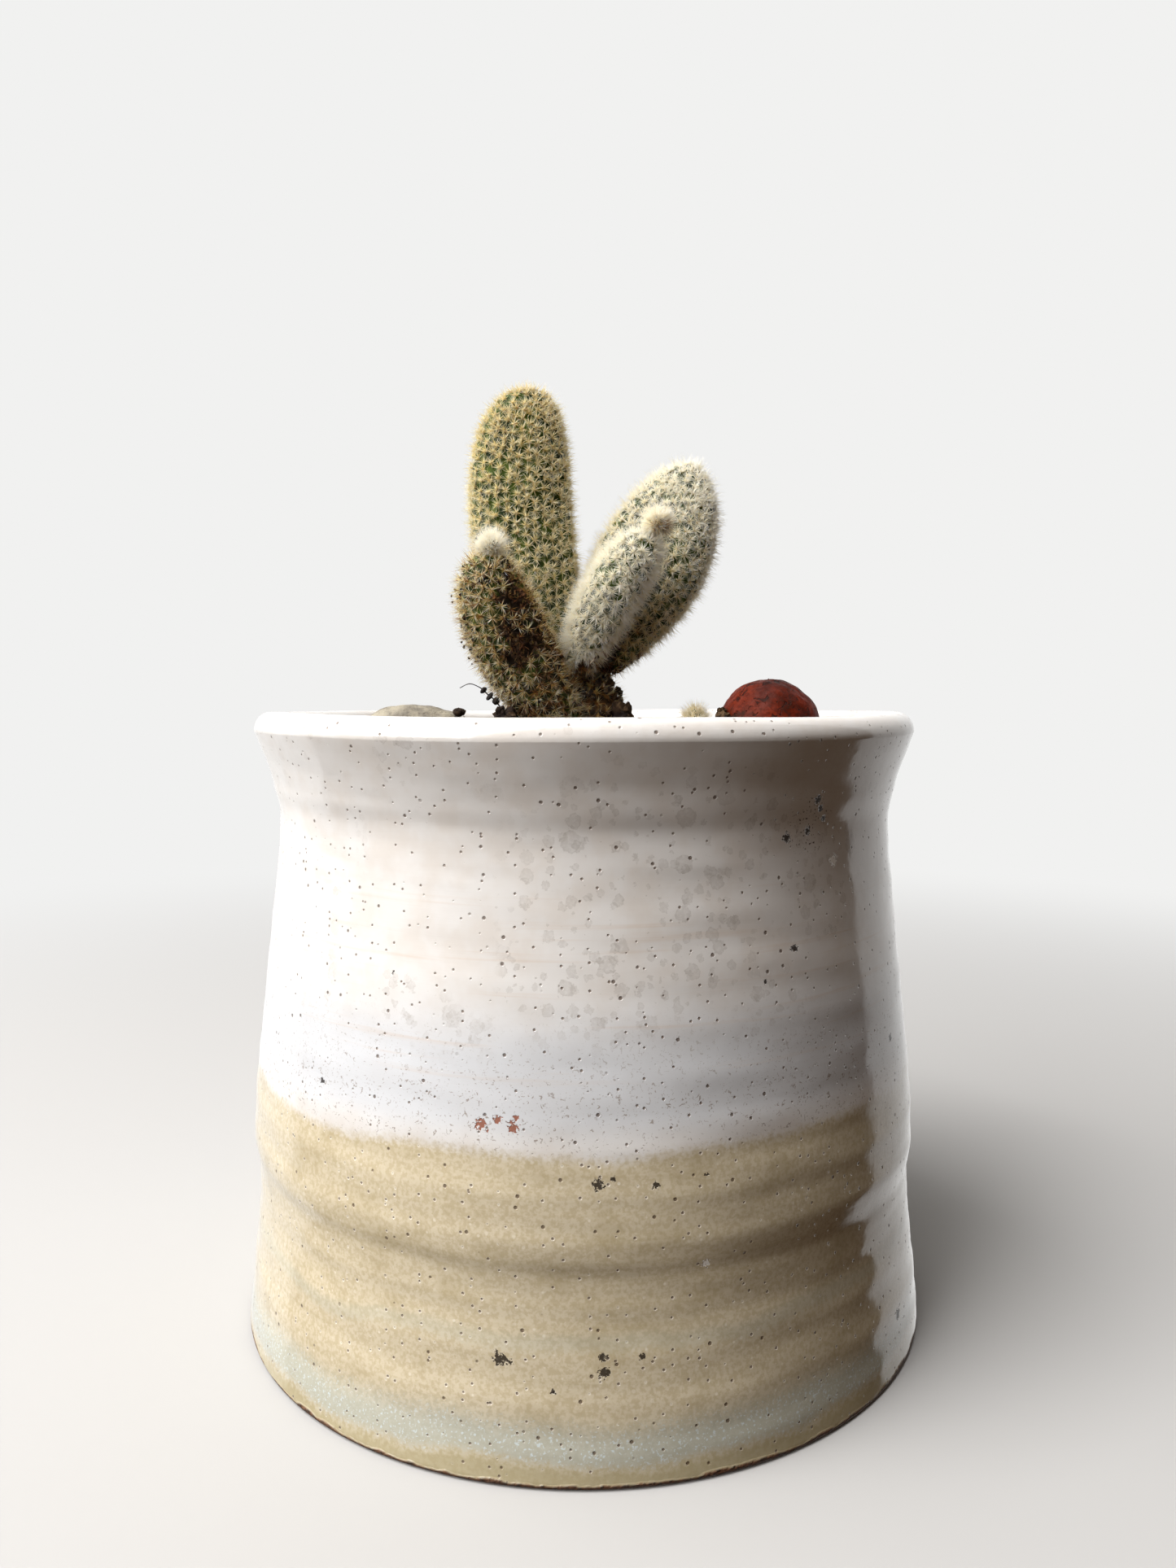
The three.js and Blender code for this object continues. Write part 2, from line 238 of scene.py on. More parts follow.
studio = {
    "cameraPlace": (0.0006, -0.1568, 0.0817),
    "cameraPitch": 4.29,  # degrees down
    "lens": 26,
    "background": "#f1f1f0",
    "wallLight": 1.1,  # the pale wall behind, as the glaze sees it
    "wallSpread": 0.66,  # and as it lights what is dull
    "wallEdge": (0.33, 0.36),  # where it starts, as the sine of degrees behind the pot's sides
    "ambient": (0.062, 0.038, 0.022),
    "floorColour": "#b2b1b0",
    "floorFade": (0.1, 0.42),  # distances over which the floor turns into the wall
    "floorReach": 6.0,
    "lampColour": (1.0, 0.99, 0.975),
    "aimHeight": 0.07,
    # each lamp: power, width, height, distance, degrees round from the front to the left, degrees up
    "lamps": {
        "frontWindow": (12.8, 0.85, 0.85, 0.95, -58, 29),
        "sideWindow": (3.0, 0.6, 1.0, 0.95, -101, 24),
        "skylight": (10.4, 0.5, 0.5, 0.95, -50, 64),
    },
}


def makeStudio():
    # camera, lamps on a sphere round the pot that face it, world and floor; a lamp's direction is
    # (sin round cos up, -cos round cos up, sin up)
    scene = bpy.context.scene
    scene.view_settings.view_transform = "Standard"
    scene.view_settings.look = "None"
    camera = bpy.data.objects.new("camera", bpy.data.cameras.new("camera"))
    camera.data.lens = studio["lens"]
    camera.data.clip_start = 0.01
    camera.location = studio["cameraPlace"]
    camera.rotation_euler = (math.radians(90 - studio["cameraPitch"]), 0, 0)
    scene.collection.objects.link(camera)
    scene.camera = camera

    for name, (power, width, tall, distance, bearing, height) in studio["lamps"].items():
        lamp = bpy.data.lights.new(name, "AREA")
        lamp.shape, lamp.size, lamp.size_y, lamp.energy = "RECTANGLE", width, tall, power
        lamp.color = studio["lampColour"]
        window = bpy.data.objects.new(name, lamp)
        around, up = math.radians(bearing), math.radians(height)
        towards = np.array([math.sin(around) * math.cos(up), -math.cos(around) * math.cos(up), math.sin(up)])
        window.location = towards * distance + np.array([0, 0, studio["aimHeight"]])
        window.rotation_euler = (math.pi / 2 - up, 0, around)
        scene.collection.objects.link(window)

    # the world is an even pale wall to the camera; to everything else it is dim and warm, with the
    # pale wall behind the pot, which lights dull things less than the glaze mirrors it
    scene.world = bpy.data.worlds.new("studioWorld")
    scene.world.use_nodes = True
    scene.world.node_tree.nodes.clear()
    add = partial(addNode, scene.world.node_tree)
    level = add("VectorMath", add("TexCoord", output="Generated"), (1, 1, 0), **times)
    back = add("SeparateXYZ", add("VectorMath", level, operation="NORMALIZE"), output="Y")
    wall = add("MapRange", back, *studio["wallEdge"], **soft)
    dim = add("Background", (*studio["ambient"], 1))
    seen = add("Background", studio["background"])
    dullRay = add("LightPath", output="Is Diffuse Ray")
    light = add("MapRange", dullRay, 0, 1, studio["wallLight"], studio["wallSpread"])
    room = add("MixShader", wall, dim, add("Background", studio["background"], light))
    add("OutputWorld", add("MixShader", dullRay.node.outputs["Is Camera Ray"], room, seen))

    # pale floor that takes the pot's soft shadow near it and fades into the wall further out
    mesh = bpy.data.meshes.new("floor")
    reach = studio["floorReach"]
    mesh.from_pydata([(-reach, -reach, 0), (reach, -reach, 0), (reach, reach, 0), (-reach, reach, 0)],
                     [], [(0, 1, 2, 3)])
    material = bpy.data.materials.new("paleFloor")
    material.use_nodes = True
    material.node_tree.nodes.clear()
    add = partial(addNode, material.node_tree)
    distance = add("VectorMath", add("TexCoord", output="Object"), operation="LENGTH")
    far = add("MapRange", distance, *studio["floorFade"], **soft)
    near, glow = add("BsdfDiffuse", studio["floorColour"]), add("Emission", studio["background"])
    add("OutputMaterial", add("MixShader", far, near, glow))
    mesh.materials.append(material)
    floor = bpy.data.objects.new("floor", mesh)
    scene.collection.objects.link(floor)
    floor.visible_glossy = False  # the glaze reflects the room, not the floor
    floor.visible_diffuse = False
    print("camera, light and floor are set")


makeStudio()

potHigh = boxOf("pot")[1]
potShape = {
    # outer wall as (radius, height), up from the base or down from the rim
    "wall": [(45.8, 0.7), (44.1, 18.5), (44.6, 27), (43.1, -36), (40.9, -16), (41.6, -9.2), (43.9, -2.4)],
    "wallThickness": 4.2,
    "lipRise": 2.4,
    "floorThickness": 6,
    "floorFillet": 6,
    "footEdge": 0.7,
    "columns": 288,
    "wallRows": 176,
    "ringPitch": 5.6,  # throwing rings, one turn of the wheel apart
    "ringDepth": 0.045,
    "calmer": (30, 42, 0.55),  # over these heights the rings fade to this share
    "unevenness": (0.15, 21),  # depth and length
    "dimples": (0.05, 8),
    "lipReach": 16,  # how far down the lip's own unevenness goes
    "lipRiseAndFall": 0.22,
    "lipInAndOut": 0.16,
}
potHeight = potHigh[2]
wallPoints = np.array([(r, z if z > 0 else potHeight + z) for r, z in potShape["wall"]])
wallCurve = smoothThrough(wallPoints, potShape["wallRows"])
wallCurve[:, 0] *= potHigh[0] / wallPoints[0, 0]  # as wide as the CAD pot


def wallRadius(height):
    # the outer wall's radius at a height, straight between the curve's points
    return np.interp(height, wallCurve[:, 1], wallCurve[:, 0])


def onWall(bearing, height):
    # a point of the outer wall, by degrees round from the front to the right and by height
    angle = math.radians(bearing)
    radius = wallRadius(height)
    return radius * math.sin(angle), -radius * math.cos(angle), height


def quarterArc(centre, across, rise, start, end, count):
    # points of an ellipse from one angle to another: centre + (across cos, rise sin)
    angles = np.radians(np.linspace(start, end, count))
    return np.stack([centre[0] + across * np.cos(angles), centre[1] + rise * np.sin(angles)], 1)


def potProfile():
    # radius and height, from the middle of the base, out and up the wall, over the lip, and down
    # inside to the middle of the floor
    wall, edge, fillet = potShape["wallThickness"], potShape["footEdge"], potShape["floorFillet"]
    floor, foot, rim = potShape["floorThickness"], wallCurve[0, 0], wallCurve[-1]
    inner = wallCurve[::-5][wallCurve[::-5, 1] > floor + fillet] - (wall, 0)
    corner = (inner[-1, 0] - fillet, inner[-1, 1])
    return np.vstack([
        np.stack([np.linspace(3, foot - edge - 0.5, 9), np.zeros(9)], 1),
        quarterArc((foot - edge, edge), edge, edge, -90, -15, 4),
        wallCurve[:-1],
        quarterArc(rim - (wall / 2, 0), wall / 2, potShape["lipRise"], 0, 180, 15),
        inner[1:],
        quarterArc(corner, fillet, corner[1] - floor, 0, -90, 6)[1:],
        np.stack([np.linspace(corner[0] - 3, 3, 5), np.full(5, floor)], 1),
    ])


def makePot(material):
    # each point of the profile is turned about the axis, then moved in or out by the throwing
    # rings, which climb one pitch a turn, and by slow unevenness, and the lip rises and falls a little
    profile = potProfile()
    angles = np.linspace(0, 2 * math.pi, potShape["columns"], endpoint=False)
    radius, height = profile[:, 0, None], profile[:, 1, None]
    turned = np.stack([np.cos(angles), np.sin(angles)], -1)
    tall = np.broadcast_to(height[..., None], (len(profile), len(angles), 1))
    flat = np.concatenate([radius[..., None] * turned, tall], -1)
    outside = smoothStep(radius, 30, 38) * smoothStep(height, 0.8, 4)
    outside = outside * (1 - smoothStep(height, potHeight - 7, potHeight - 1))

    climb = 2 * math.pi * height / potShape["ringPitch"]
    rings = np.sin(climb + angles + 0.8 * np.sin(2 * angles)) + 0.25 * np.sin(climb / 0.43 + 2 * angles)
    start, end, calm = potShape["calmer"]
    rings = rings * (calm + (1 - calm) * (1 - smoothStep(height, start, end)))
    (slowDepth, slowLength), (quickDepth, quickLength) = potShape["unevenness"], potShape["dimples"]
    slow = ripple(flat.reshape(-1, 3), slowLength, 3).reshape(flat.shape[:2])
    quick = ripple(flat.reshape(-1, 3) * (1, 1, 1.6), quickLength, 4).reshape(flat.shape[:2])
    push = outside * (potShape["ringDepth"] * rings + slowDepth * slow + quickDepth * quick)

    lip = smoothStep(height, potHeight - potShape["lipReach"], potHeight) * smoothStep(radius, 30, 36)
    waves = (np.sin(2 * angles + 0.7) + 0.5 * np.sin(5 * angles + 2) - 0.6) / 1.5
    rise = potShape["lipRiseAndFall"] * lip * waves
    push = push + potShape["lipInAndOut"] * lip * np.sin(3 * angles + 1.1)
    grid = np.concatenate([(radius + push)[..., None] * turned, (flat[..., 2] + rise)[..., None]], -1)
    shape = shellShape(grid, (0, 0, 0), (0, 0, potShape["floorThickness"]))
    addPiece("pot_thrown", shape, material, ["pot"])


glaze = {
    "line": (34.2, 35.9),  # heights over which white takes over from oatmeal
    "lineTilt": -0.012,  # and how the line falls to the left, per millimetre
    "oatmeal": ("#bdaf92", "#cbbfa6"),
    "white": ("#dbd8d5", "#d5cfc9"),
    "midRadius": 42.0,  # at which the wall is unrolled for the spots
    "spotDrift": (9, 61),  # where the spots crowd, as bearing and height
    "pitDrift": (38, 68),
    # specks of iron: how many cells to a millimetre, size in a cell, share of cells without, colour
    "specks": ((0.5, 0.13, 0.45, "#54402f"), (1.05, 0.2, 0.6, "#6b5847")),
    # round spots: cells to a millimetre, share of cells without, widest in a cell
    "spots": ((0.24, 0.4, 0.34), (0.4, 0.35, 0.36), (0.75, 0.55, 0.42)),
    # single marks by colour: bearing in degrees round to the right, height, radius
    "marks": {
        "#8d4f34": [(-14, 37.8, 0.55), (-11.5, 38.4, 0.4), (-9.3, 37.7, 0.6), (-9.0, 38.7, 0.3),
                    (-12.9, 37.2, 0.25)],
        "#211813": [(33.4, 54.6, 0.42), (58.7, 40.9, 0.45), (-41.9, 39, 0.35), (2.1, 32, 0.55),
                    (9.9, 31.7, 0.36), (4.2, 32.6, 0.28), (-11, 13.2, 0.7), (-9.8, 13.0, 0.35),
                    (2.9, 13.8, 0.4), (3, 12.3, 0.55), (8.1, 13.7, 0.34), (34.5, 79, 0.26),
                    (38.9, 70.6, 0.5), (39.9, 69.6, 0.35), (33, 66.6, 0.5), (37.6, 67.2, 0.4),
                    (41.2, 68.4, 0.4), (-3.8, 10.3, 0.26), (58.5, 6.8, 0.6), (17, 32.3, 0.22),
                    (27.6, 51.5, 0.2), (-29, 52.4, 0.22)],
        "#f7f4ee": [(17, 22.8, 0.4), (44, 63.5, 0.6)],
    },
}


def makeGlaze():
    # Wheel-thrown stoneware dipped in two glazes, white over oatmeal, and fired glossy: the eye gets
    # soft throwing lines, iron specks, pale grey spots in the white, sandy grain in the oatmeal, glaze
    # pooled blue-grey at the foot, and a bare brown edge where it stands.
    material, add = startMaterial("glazedStoneware", IOR=1.52)
    place = placeIn(add)
    x = add("SeparateXYZ", place)
    y, z = x.node.outputs["Y"], x.node.outputs["Z"]
    slow = add("TexNoise", place, 0.05, 2, 0.55)
    medium = add("TexNoise", place, 0.22, 3, 0.55)
    grain = add("TexNoise", place, 1.9, 2, 0.6)
    fine = add("TexNoise", place, 3.2, 2, 0.6)
    streaks = add("TexNoise", add("Mapping", place, Scale=(0.035, 0.035, 1.15)), 1, 3, 0.6)

    # height above the glaze line, which tilts up to the right and wanders
    height = add("Math", z, add("Math", x, glaze["lineTilt"], **times), **plus)
    wander = add("MapRange", slow, 0.25, 0.75, -1.1, 1.1)
    fray = add("MapRange", grain, 0.3, 0.7, -0.3, 0.3)
    ragged = add("Math", height, add("Math", wander, fray, **plus), **plus)

    # oatmeal glaze with pale flecks and sandy grain, darker where it thins over the ridges
    oat = tint(add, *glaze["oatmeal"], grain, 0.36, 0.62)
    cells = add("TexVoronoi", place, 1.05)
    pick = add("SeparateColor", cells.node.outputs["Color"])
    flecks = add("Math", add("MapRange", cells, 0.3, 0.16, **soft),
                 add("MapRange", pick, 0.35, 0.9, 0, 0.75, **soft), **times)
    oat = add("Mix", flecks, oat, "#e6dfd0", **rgba)
    oat = tint(add, oat, "#a39370", medium, 0.5, 0.72, 0.35)
    oat = tint(add, oat, "#a6966f", streaks, 0.52, 0.7, 0.15)

    # pooled band near the foot, blue-grey with pale crystals, and a thin one in the groove above
    pooled = band(add, ragged, (1.8, 3.6), (8.4, 4.6))
    oat = add("Mix", add("Math", pooled, 0.7, **times), oat, "#abafa6", **rgba)
    crystals = add("Math", pooled, add("MapRange", fine, 0.56, 0.66, 0, 0.75, **soft), **times)
    oat = add("Mix", crystals, oat, "#cad5d9", **rgba)
    oat = tint(add, oat, "#a99e7d", ragged, 2.9, 1.6, 0.7)
    oat = add("Mix", band(add, ragged, (13.6, 15), (16.6, 15.4), 0.2), oat, "#a3ada6", **rgba)

    # white glaze, bluish where it is thick above the line, with warm streaks along the rings
    pale = tint(add, *glaze["white"], medium, 0.35, 0.7)
    pale = add("Mix", band(add, height, (35, 39), (53, 44), 0.75), pale, "#c9ccd1", **rgba)
    warm = add("Math", band(add, height, (40, 45), (66, 57), 0.3),
               add("MapRange", streaks, 0.54, 0.72, **soft), **times)
    pale = add("Mix", warm, pale, "#c9b29d", **rgba)

    # round grey spots 1 to 4 mm across, in drifts, on the wall unrolled about its middle radius
    turn = add("Math", x, add("Math", y, -1.0, **times), operation="ARCTAN2")
    unrolled = add("CombineXYZ", add("Math", turn, glaze["midRadius"], **times), z)
    wobbled = add("VectorMath", unrolled, grain.node.outputs["Color"], **plus)
    drift = add("TexNoise", add("VectorMath", place, (31, 7, 12), **plus), 0.07, 1, 0.55)
    thick = add("VectorMath", place, onWall(*glaze["spotDrift"]), operation="DISTANCE")
    drift = add("Math", add("MapRange", drift, 0.5, 0.62, **soft),
                add("MapRange", thick, 19, 10, **soft), **most)
    drift = add("Math", drift, add("MapRange", height, 42, 50, 0, 0.42, **soft), **times)
    stipple = add("MapRange", fine, 0.3, 0.6, 0.4, 1, **soft)
    for scale, without, widest in glaze["spots"]:
        cells = add("TexVoronoi", wobbled, scale, Randomness=0.9, voronoi_dimensions="2D")
        pick = add("SeparateColor", cells.node.outputs["Color"])
        reach = add("MapRange", pick, without, 1, 0, widest)
        inside = add("Math", reach, cells, operation="SUBTRACT")
        spot = add("Math", add("MapRange", inside, 0, 0.03, **soft),
                   add("MapRange", inside, 0.1, 0.0, 0.6, 1.0, **soft), **times)
        spot = add("Math", add("Math", spot, stipple, **times), drift, **times)
        pale = add("Mix", spot, pale, "#9d958d", **rgba)

    # crawled pinholes in a belt over the line, drawn a little coarse so that they show
    crawl = add("TexNoise", place, 2.1, 2, 0.7, Distortion=1.2)
    holes = add("Math", add("MapRange", crawl, 0.39, 0.33, **soft),
                band(add, height, (33.5, 36), (52, 39), 0.75), **times)
    pale = add("Mix", holes, pale, "#8b7e74", **rgba)
    colour = add("Mix", add("MapRange", ragged, *glaze["line"], **soft), oat, pale, **rgba)

    # iron specks all over, 0.2 to 0.5 mm
    pits = 0.0
    for scale, size, without, tone in glaze["specks"]:
        cells = add("TexVoronoi", place, scale)
        pick = add("SeparateColor", cells.node.outputs["Color"])
        dot = add("Math", add("MapRange", pick, without, without + 0.05, **soft),
                  add("MapRange", cells, size, size * 0.5, **soft), **times)
        colour = add("Mix", add("Math", dot, 0.8, **times), colour, tone, **rgba)
        pits = add("Math", pits, dot, **most)

    # a drift of burnt pits under the rim at the right
    cluster = add("VectorMath", place, onWall(*glaze["pitDrift"]), operation="DISTANCE")
    burnt = add("Math", add("MapRange", cluster, 4.6, 2.2, 0, 0.85, **soft),
                add("MapRange", fine, 0.6, 0.68, **soft), **times)
    colour = add("Mix", burnt, colour, "#2b1c14", **rgba)

    # single marks, each a ball of colour about its own place, with ragged edges
    for tone, marks in glaze["marks"].items():
        found = 0.0
        for bearing, up, radius in marks:
            gap = add("VectorMath", place, onWall(bearing, up), operation="DISTANCE")
            frayed = add("MapRange", fine, 0.3, 0.7, -radius * 0.7, radius * 0.7)
            gap = add("Math", gap, frayed, **plus)
            dot = add("MapRange", gap, radius * 1.15, radius * 0.75, **soft)
            found = add("Math", found, dot, **most)
        colour = add("Mix", add("Math", found, 0.92, **times), colour, tone, **rgba)
        pits = add("Math", pits, found, **most)

    # painted shade inside the pot, dark brown from under the rim down towards the soil, and the bare clay of
    # the foot and base
    flat = add("VectorMath", add("VectorMath", place, (1, 1, 0), **times), operation="LENGTH")
    inside = add("Math", add("MapRange", flat, 40.6, 40.0, **soft),
                 add("MapRange", z, 50, 55, **soft), **times)
    wavyHeight = add("Math", z, add("MapRange", medium, 0.3, 0.7, -2.6, 2.6, **soft), **plus)
    # painted shade: the inside wall turns dark brown below the rim, more so further down
    insideShade = add("Math", inside, add("MapRange", wavyHeight, 79.5, 72.5, **soft), **times)
    colour = add("Mix", add("Math", insideShade, 0.8, **times), colour, "#6b5642", **rgba)
    worn = add("Math", z, add("MapRange", medium, 0.3, 0.7, -0.25, 0.25, **soft), **plus)
    bare = add("MapRange", worn, 0.95, 0.55, **soft)
    colour = add("Mix", bare, colour, tint(add, "#6e4c34", "#3b281c", grain, 0.4, 0.65), **rgba)

    # glossy, but dull where it is bare, in the painted shade inside, and in the pits
    rough = add("MapRange", medium, 0.3, 0.7, 0.08, 0.17)
    dull = add("Math", bare, add("Math", insideShade, 0.7, **times), **most)
    for source, share in ((dull, 0.65), (pits, 0.3)):
        rough = add("Math", source, share, rough, **timesPlus)

    # relief: orange peel, faint finger lines, the pits, and the sandy bare clay
    peel = add("TexNoise", place, 0.35, 2, 0.55)
    relief = 0.0
    for source, share in ((peel, 0.035), (streaks, 0.012), (pits, -0.06),
                          (add("Math", grain, bare, **times), 0.35)):
        relief = add("Math", source, share, relief, **timesPlus)
    return setShader(material, Base_Color=colour, Roughness=rough, Normal=add("Bump", 1.0, mm, Height=relief))


makePot(makeGlaze())

soil = {
    "mound": 3.0,
    "moundRadius": 26,
    "rows": 84,
    "columns": 216,
    "lumpiness": 0.75,
    "lumps": ((0.6, 9), (0.4, 3.6), (0.35, 1.9)),  # share and length of each size
    "grains": 2700,
    "grainSize": (0.35, 1.25),
    "litter": 90,  # slivers of bark
}
soilLow, soilHigh = boxOf("potting_soil")[:2]
soilLevel = soilHigh[2] - soil["mound"]
soilRadius = wallRadius(soilLevel) - potShape["wallThickness"] - 0.3


def soilTop(x, y):
    # a low cosine mound about the stem, with lumps of three sizes on it
    distance = np.hypot(x, y)
    mound = np.where(distance < soil["moundRadius"],
                     soil["mound"] / 2 * (1 + np.cos(math.pi * distance / soil["moundRadius"])), 0)
    lumps = ripples(np.stack([x, y, 0 * x], -1), soil["lumps"], 11).reshape(np.shape(x))
    settle = 1 - 0.6 * smoothStep(distance, soilRadius - 4, soilRadius)
    return soilLevel + mound + soil["lumpiness"] * (lumps - 0.35) * settle


def coarseBall():
    # an icosahedron: its twelve corners and twenty faces
    golden = (1 + math.sqrt(5)) / 2
    corners = np.array([(-1, golden, 0), (1, golden, 0), (-1, -golden, 0), (1, -golden, 0),
                        (0, -1, golden), (0, 1, golden), (0, -1, -golden), (0, 1, -golden),
                        (golden, 0, -1), (golden, 0, 1), (-golden, 0, -1), (-golden, 0, 1)])
    faces = np.array([(0, 11, 5), (0, 5, 1), (0, 1, 7), (0, 7, 10), (0, 10, 11), (1, 5, 9), (5, 11, 4),
                      (11, 10, 2), (10, 7, 6), (7, 1, 8), (3, 9, 4), (3, 4, 2), (3, 2, 6), (3, 6, 8),
                      (3, 8, 9), (4, 9, 5), (2, 4, 11), (6, 2, 10), (8, 6, 7), (9, 8, 1)])
    return unit(corners), faces


def turnings(rng, count):
    # random turns: each row of three axes comes from two random directions made square to each other
    first = unit(rng.normal(size=(count, 3)))
    second = unit(np.cross(first, rng.normal(size=(count, 3))))
    return np.stack([first, second, np.cross(first, second)], 1)


def crumbs(centres, sizes, rng, uneven=0.28):
    # each crumb is a coarse ball whose corners move in and out at random, stretched along three
    # axes by its sizes, then turned at random
    ball, faces = coarseBall()
    corners = ball[None] * rng.uniform(1 - uneven, 1 + uneven, (len(centres), 12, 1)) * sizes[:, None] / 2
    points = np.einsum("nij,njk->nik", corners, turnings(rng, len(centres))) + centres[:, None]
    allFaces = (faces[None] + 12 * np.arange(len(centres))[:, None, None]).reshape(-1, 3)
    return points.reshape(-1, 3), [allFaces]


def crumbSizes(rng, low, high, count, spread=(0.6, 1.4)):
    # one size for each crumb, times a random share along each of its axes
    return rng.uniform(low, high, (count, 1)) * rng.uniform(*spread, (count, 3))


def makeSoilMatter():
    # Peaty potting mix, damp and crumbly: the eye gets near-black brown crumbs with browner and a
    # few sandy ones among them, and no shine.
    material, add = startMaterial("peatyPottingMix", Specular_IOR_Level=0.25, Roughness=0.95)
    place = placeIn(add)
    bits = add("SeparateColor", add("TexVoronoi", place, 0.9, output="Color"))
    colour = tint(add, "#1d1410", "#43311f", add("TexNoise", place, 0.5, 3, 0.55), 0.35, 0.7)
    colour = tint(add, colour, "#5f4a33", bits, 0.72, 0.8, 0.7)
    colour = tint(add, colour, "#a1917a", bits, 0.955, 0.97, 0.8)
    rough = add("TexNoise", place, 2.4, 3, 0.7)
    return setShader(material, Base_Color=colour, Normal=add("Bump", 0.8, 0.3 * mm, Height=rough))


def makeSoil(material):
    # rings of the lumpy top shrink from the wall to the middle; below them the sides go straight
    # down to the pot's floor
    share = np.linspace(1, 0, soil["rows"], endpoint=False) ** 0.85
    angles = np.linspace(0, 2 * math.pi, soil["columns"], endpoint=False)
    x, y = (share[:, None] * soilRadius * wave for wave in (np.cos(angles), np.sin(angles)))
    top = np.stack([x, y, soilTop(x, y)], -1)
    sides = [(0.72, soilLow[2] + 0.4), (0.9, soilLow[2] + 3), (1, soilLow[2] + 12), (1.0, soilLevel - 6)]
    under = [np.stack([reach * x[0], reach * y[0], np.full(len(angles), height)], -1)
             for reach, height in sides]
    middle = (0, 0, float(soilTop(np.zeros(1), np.zeros(1))[0]))
    shape = shellShape(np.concatenate([np.array(under), top]), (0, 0, soilLow[2] + 0.2), middle)
    addPiece("soil_body", shape, material, ["potting_soil"])

    rng = np.random.default_rng(21)
    count, litter = soil["grains"], soil["litter"]
    distance = (soilRadius - 0.8) * np.sqrt(rng.uniform(0, 1, count))
    angle = rng.uniform(0, 2 * math.pi, count)
    x, y = distance * np.cos(angle), distance * np.sin(angle)
    size = rng.uniform(*soil["grainSize"], (count, 1)) ** 1.3 * rng.uniform(0.7, 1.3, (count, 3))
    size[:litter] = rng.uniform((2.2, 0.5, 0.25), (4.2, 1.0, 0.45), (litter, 3))
    centres = np.stack([x, y, soilTop(x, y) + 0.18 * size.mean(1)], -1)
    addPiece("soil_grains", crumbs(centres, size, rng), material, smooth=False)


soilMatter = makeSoilMatter()
makeSoil(soilMatter)

lumps = {
    "rows": 36,
    "columns": 48,
    "roughness": ((0.16, 3.2), (0.11, 1.5), (0.07, 0.8)),  # share of the radius and length
    "pieces": {  # CAD node, piece and seed
        "soil_lump_by_ball": ("lump_by_ball", 40),
        "soil_lump_left": ("lump_left", 45),
        "soil_lump_right": ("lump_right", 50),
        "soil_crumb_on_pebble": ("crumb_on_pebble", 55),
    },
}


def makeLump(node, name, seed):
    # a ball shaped to its CAD box, roughened by ripples of three sizes, with crumbs stuck on it
    middle, size = boxOf(node)[2:]
    up = np.linspace(-1, 1, lumps["rows"] + 2)[1:-1] * math.pi / 2
    angles = np.linspace(0, 2 * math.pi, lumps["columns"], endpoint=False)
    up, angles = np.meshgrid(up, angles, indexing="ij")
    across = np.sqrt(1 - np.sin(up) ** 2)
    ball = np.stack([across * np.cos(angles), across * np.sin(angles), np.sin(up)], -1)
    rough = ripples(ball * size / 2, lumps["roughness"], seed).reshape(up.shape)
    points = ball * size / 2 * (0.95 + rough)[..., None] + middle
    pole = (0, 0, size[2] * 0.46)
    rng = np.random.default_rng(seed)
    count = int(22 + 3 * size.prod() ** (2 / 3))
    where = unit(rng.normal(size=(count, 3)))
    grains = rng.uniform(0.09, 0.3, (count, 1)) * size.min() * rng.uniform(0.6, 1.4, (count, 3))
    stuck = crumbs(where * size * 0.47 + middle, grains, rng)
    addPiece(name, joined([shellShape(points, middle - pole, middle + pole), stuck]), soilMatter,
             [node], smooth=False)


for node, (name, seed) in lumps["pieces"].items():
    makeLump(node, name, seed)
print("pot and soil are made")

stemLow, stemHigh, stemMiddle, stemSize = boxOf("stem_base")
plant = {
    "rise": 12.6,  # from where the stem leaves the soil to its top
    "fleshDepth": 0.42,  # skin lies this far under the CAD surface, which stands for the spines' ends
    "areoleStep": 1.28,  # between tufts along a row, and between rows
    "bump": 0.3,
    "hairWidth": 0.105,
    "woolWidth": 0.07,
    "shortHair": (0.8, 1.3),
    "longHair": (1.2, 2.0),
}
plantPlace = np.array([stemMiddle[0], stemMiddle[1], stemHigh[2] - plant["rise"]])
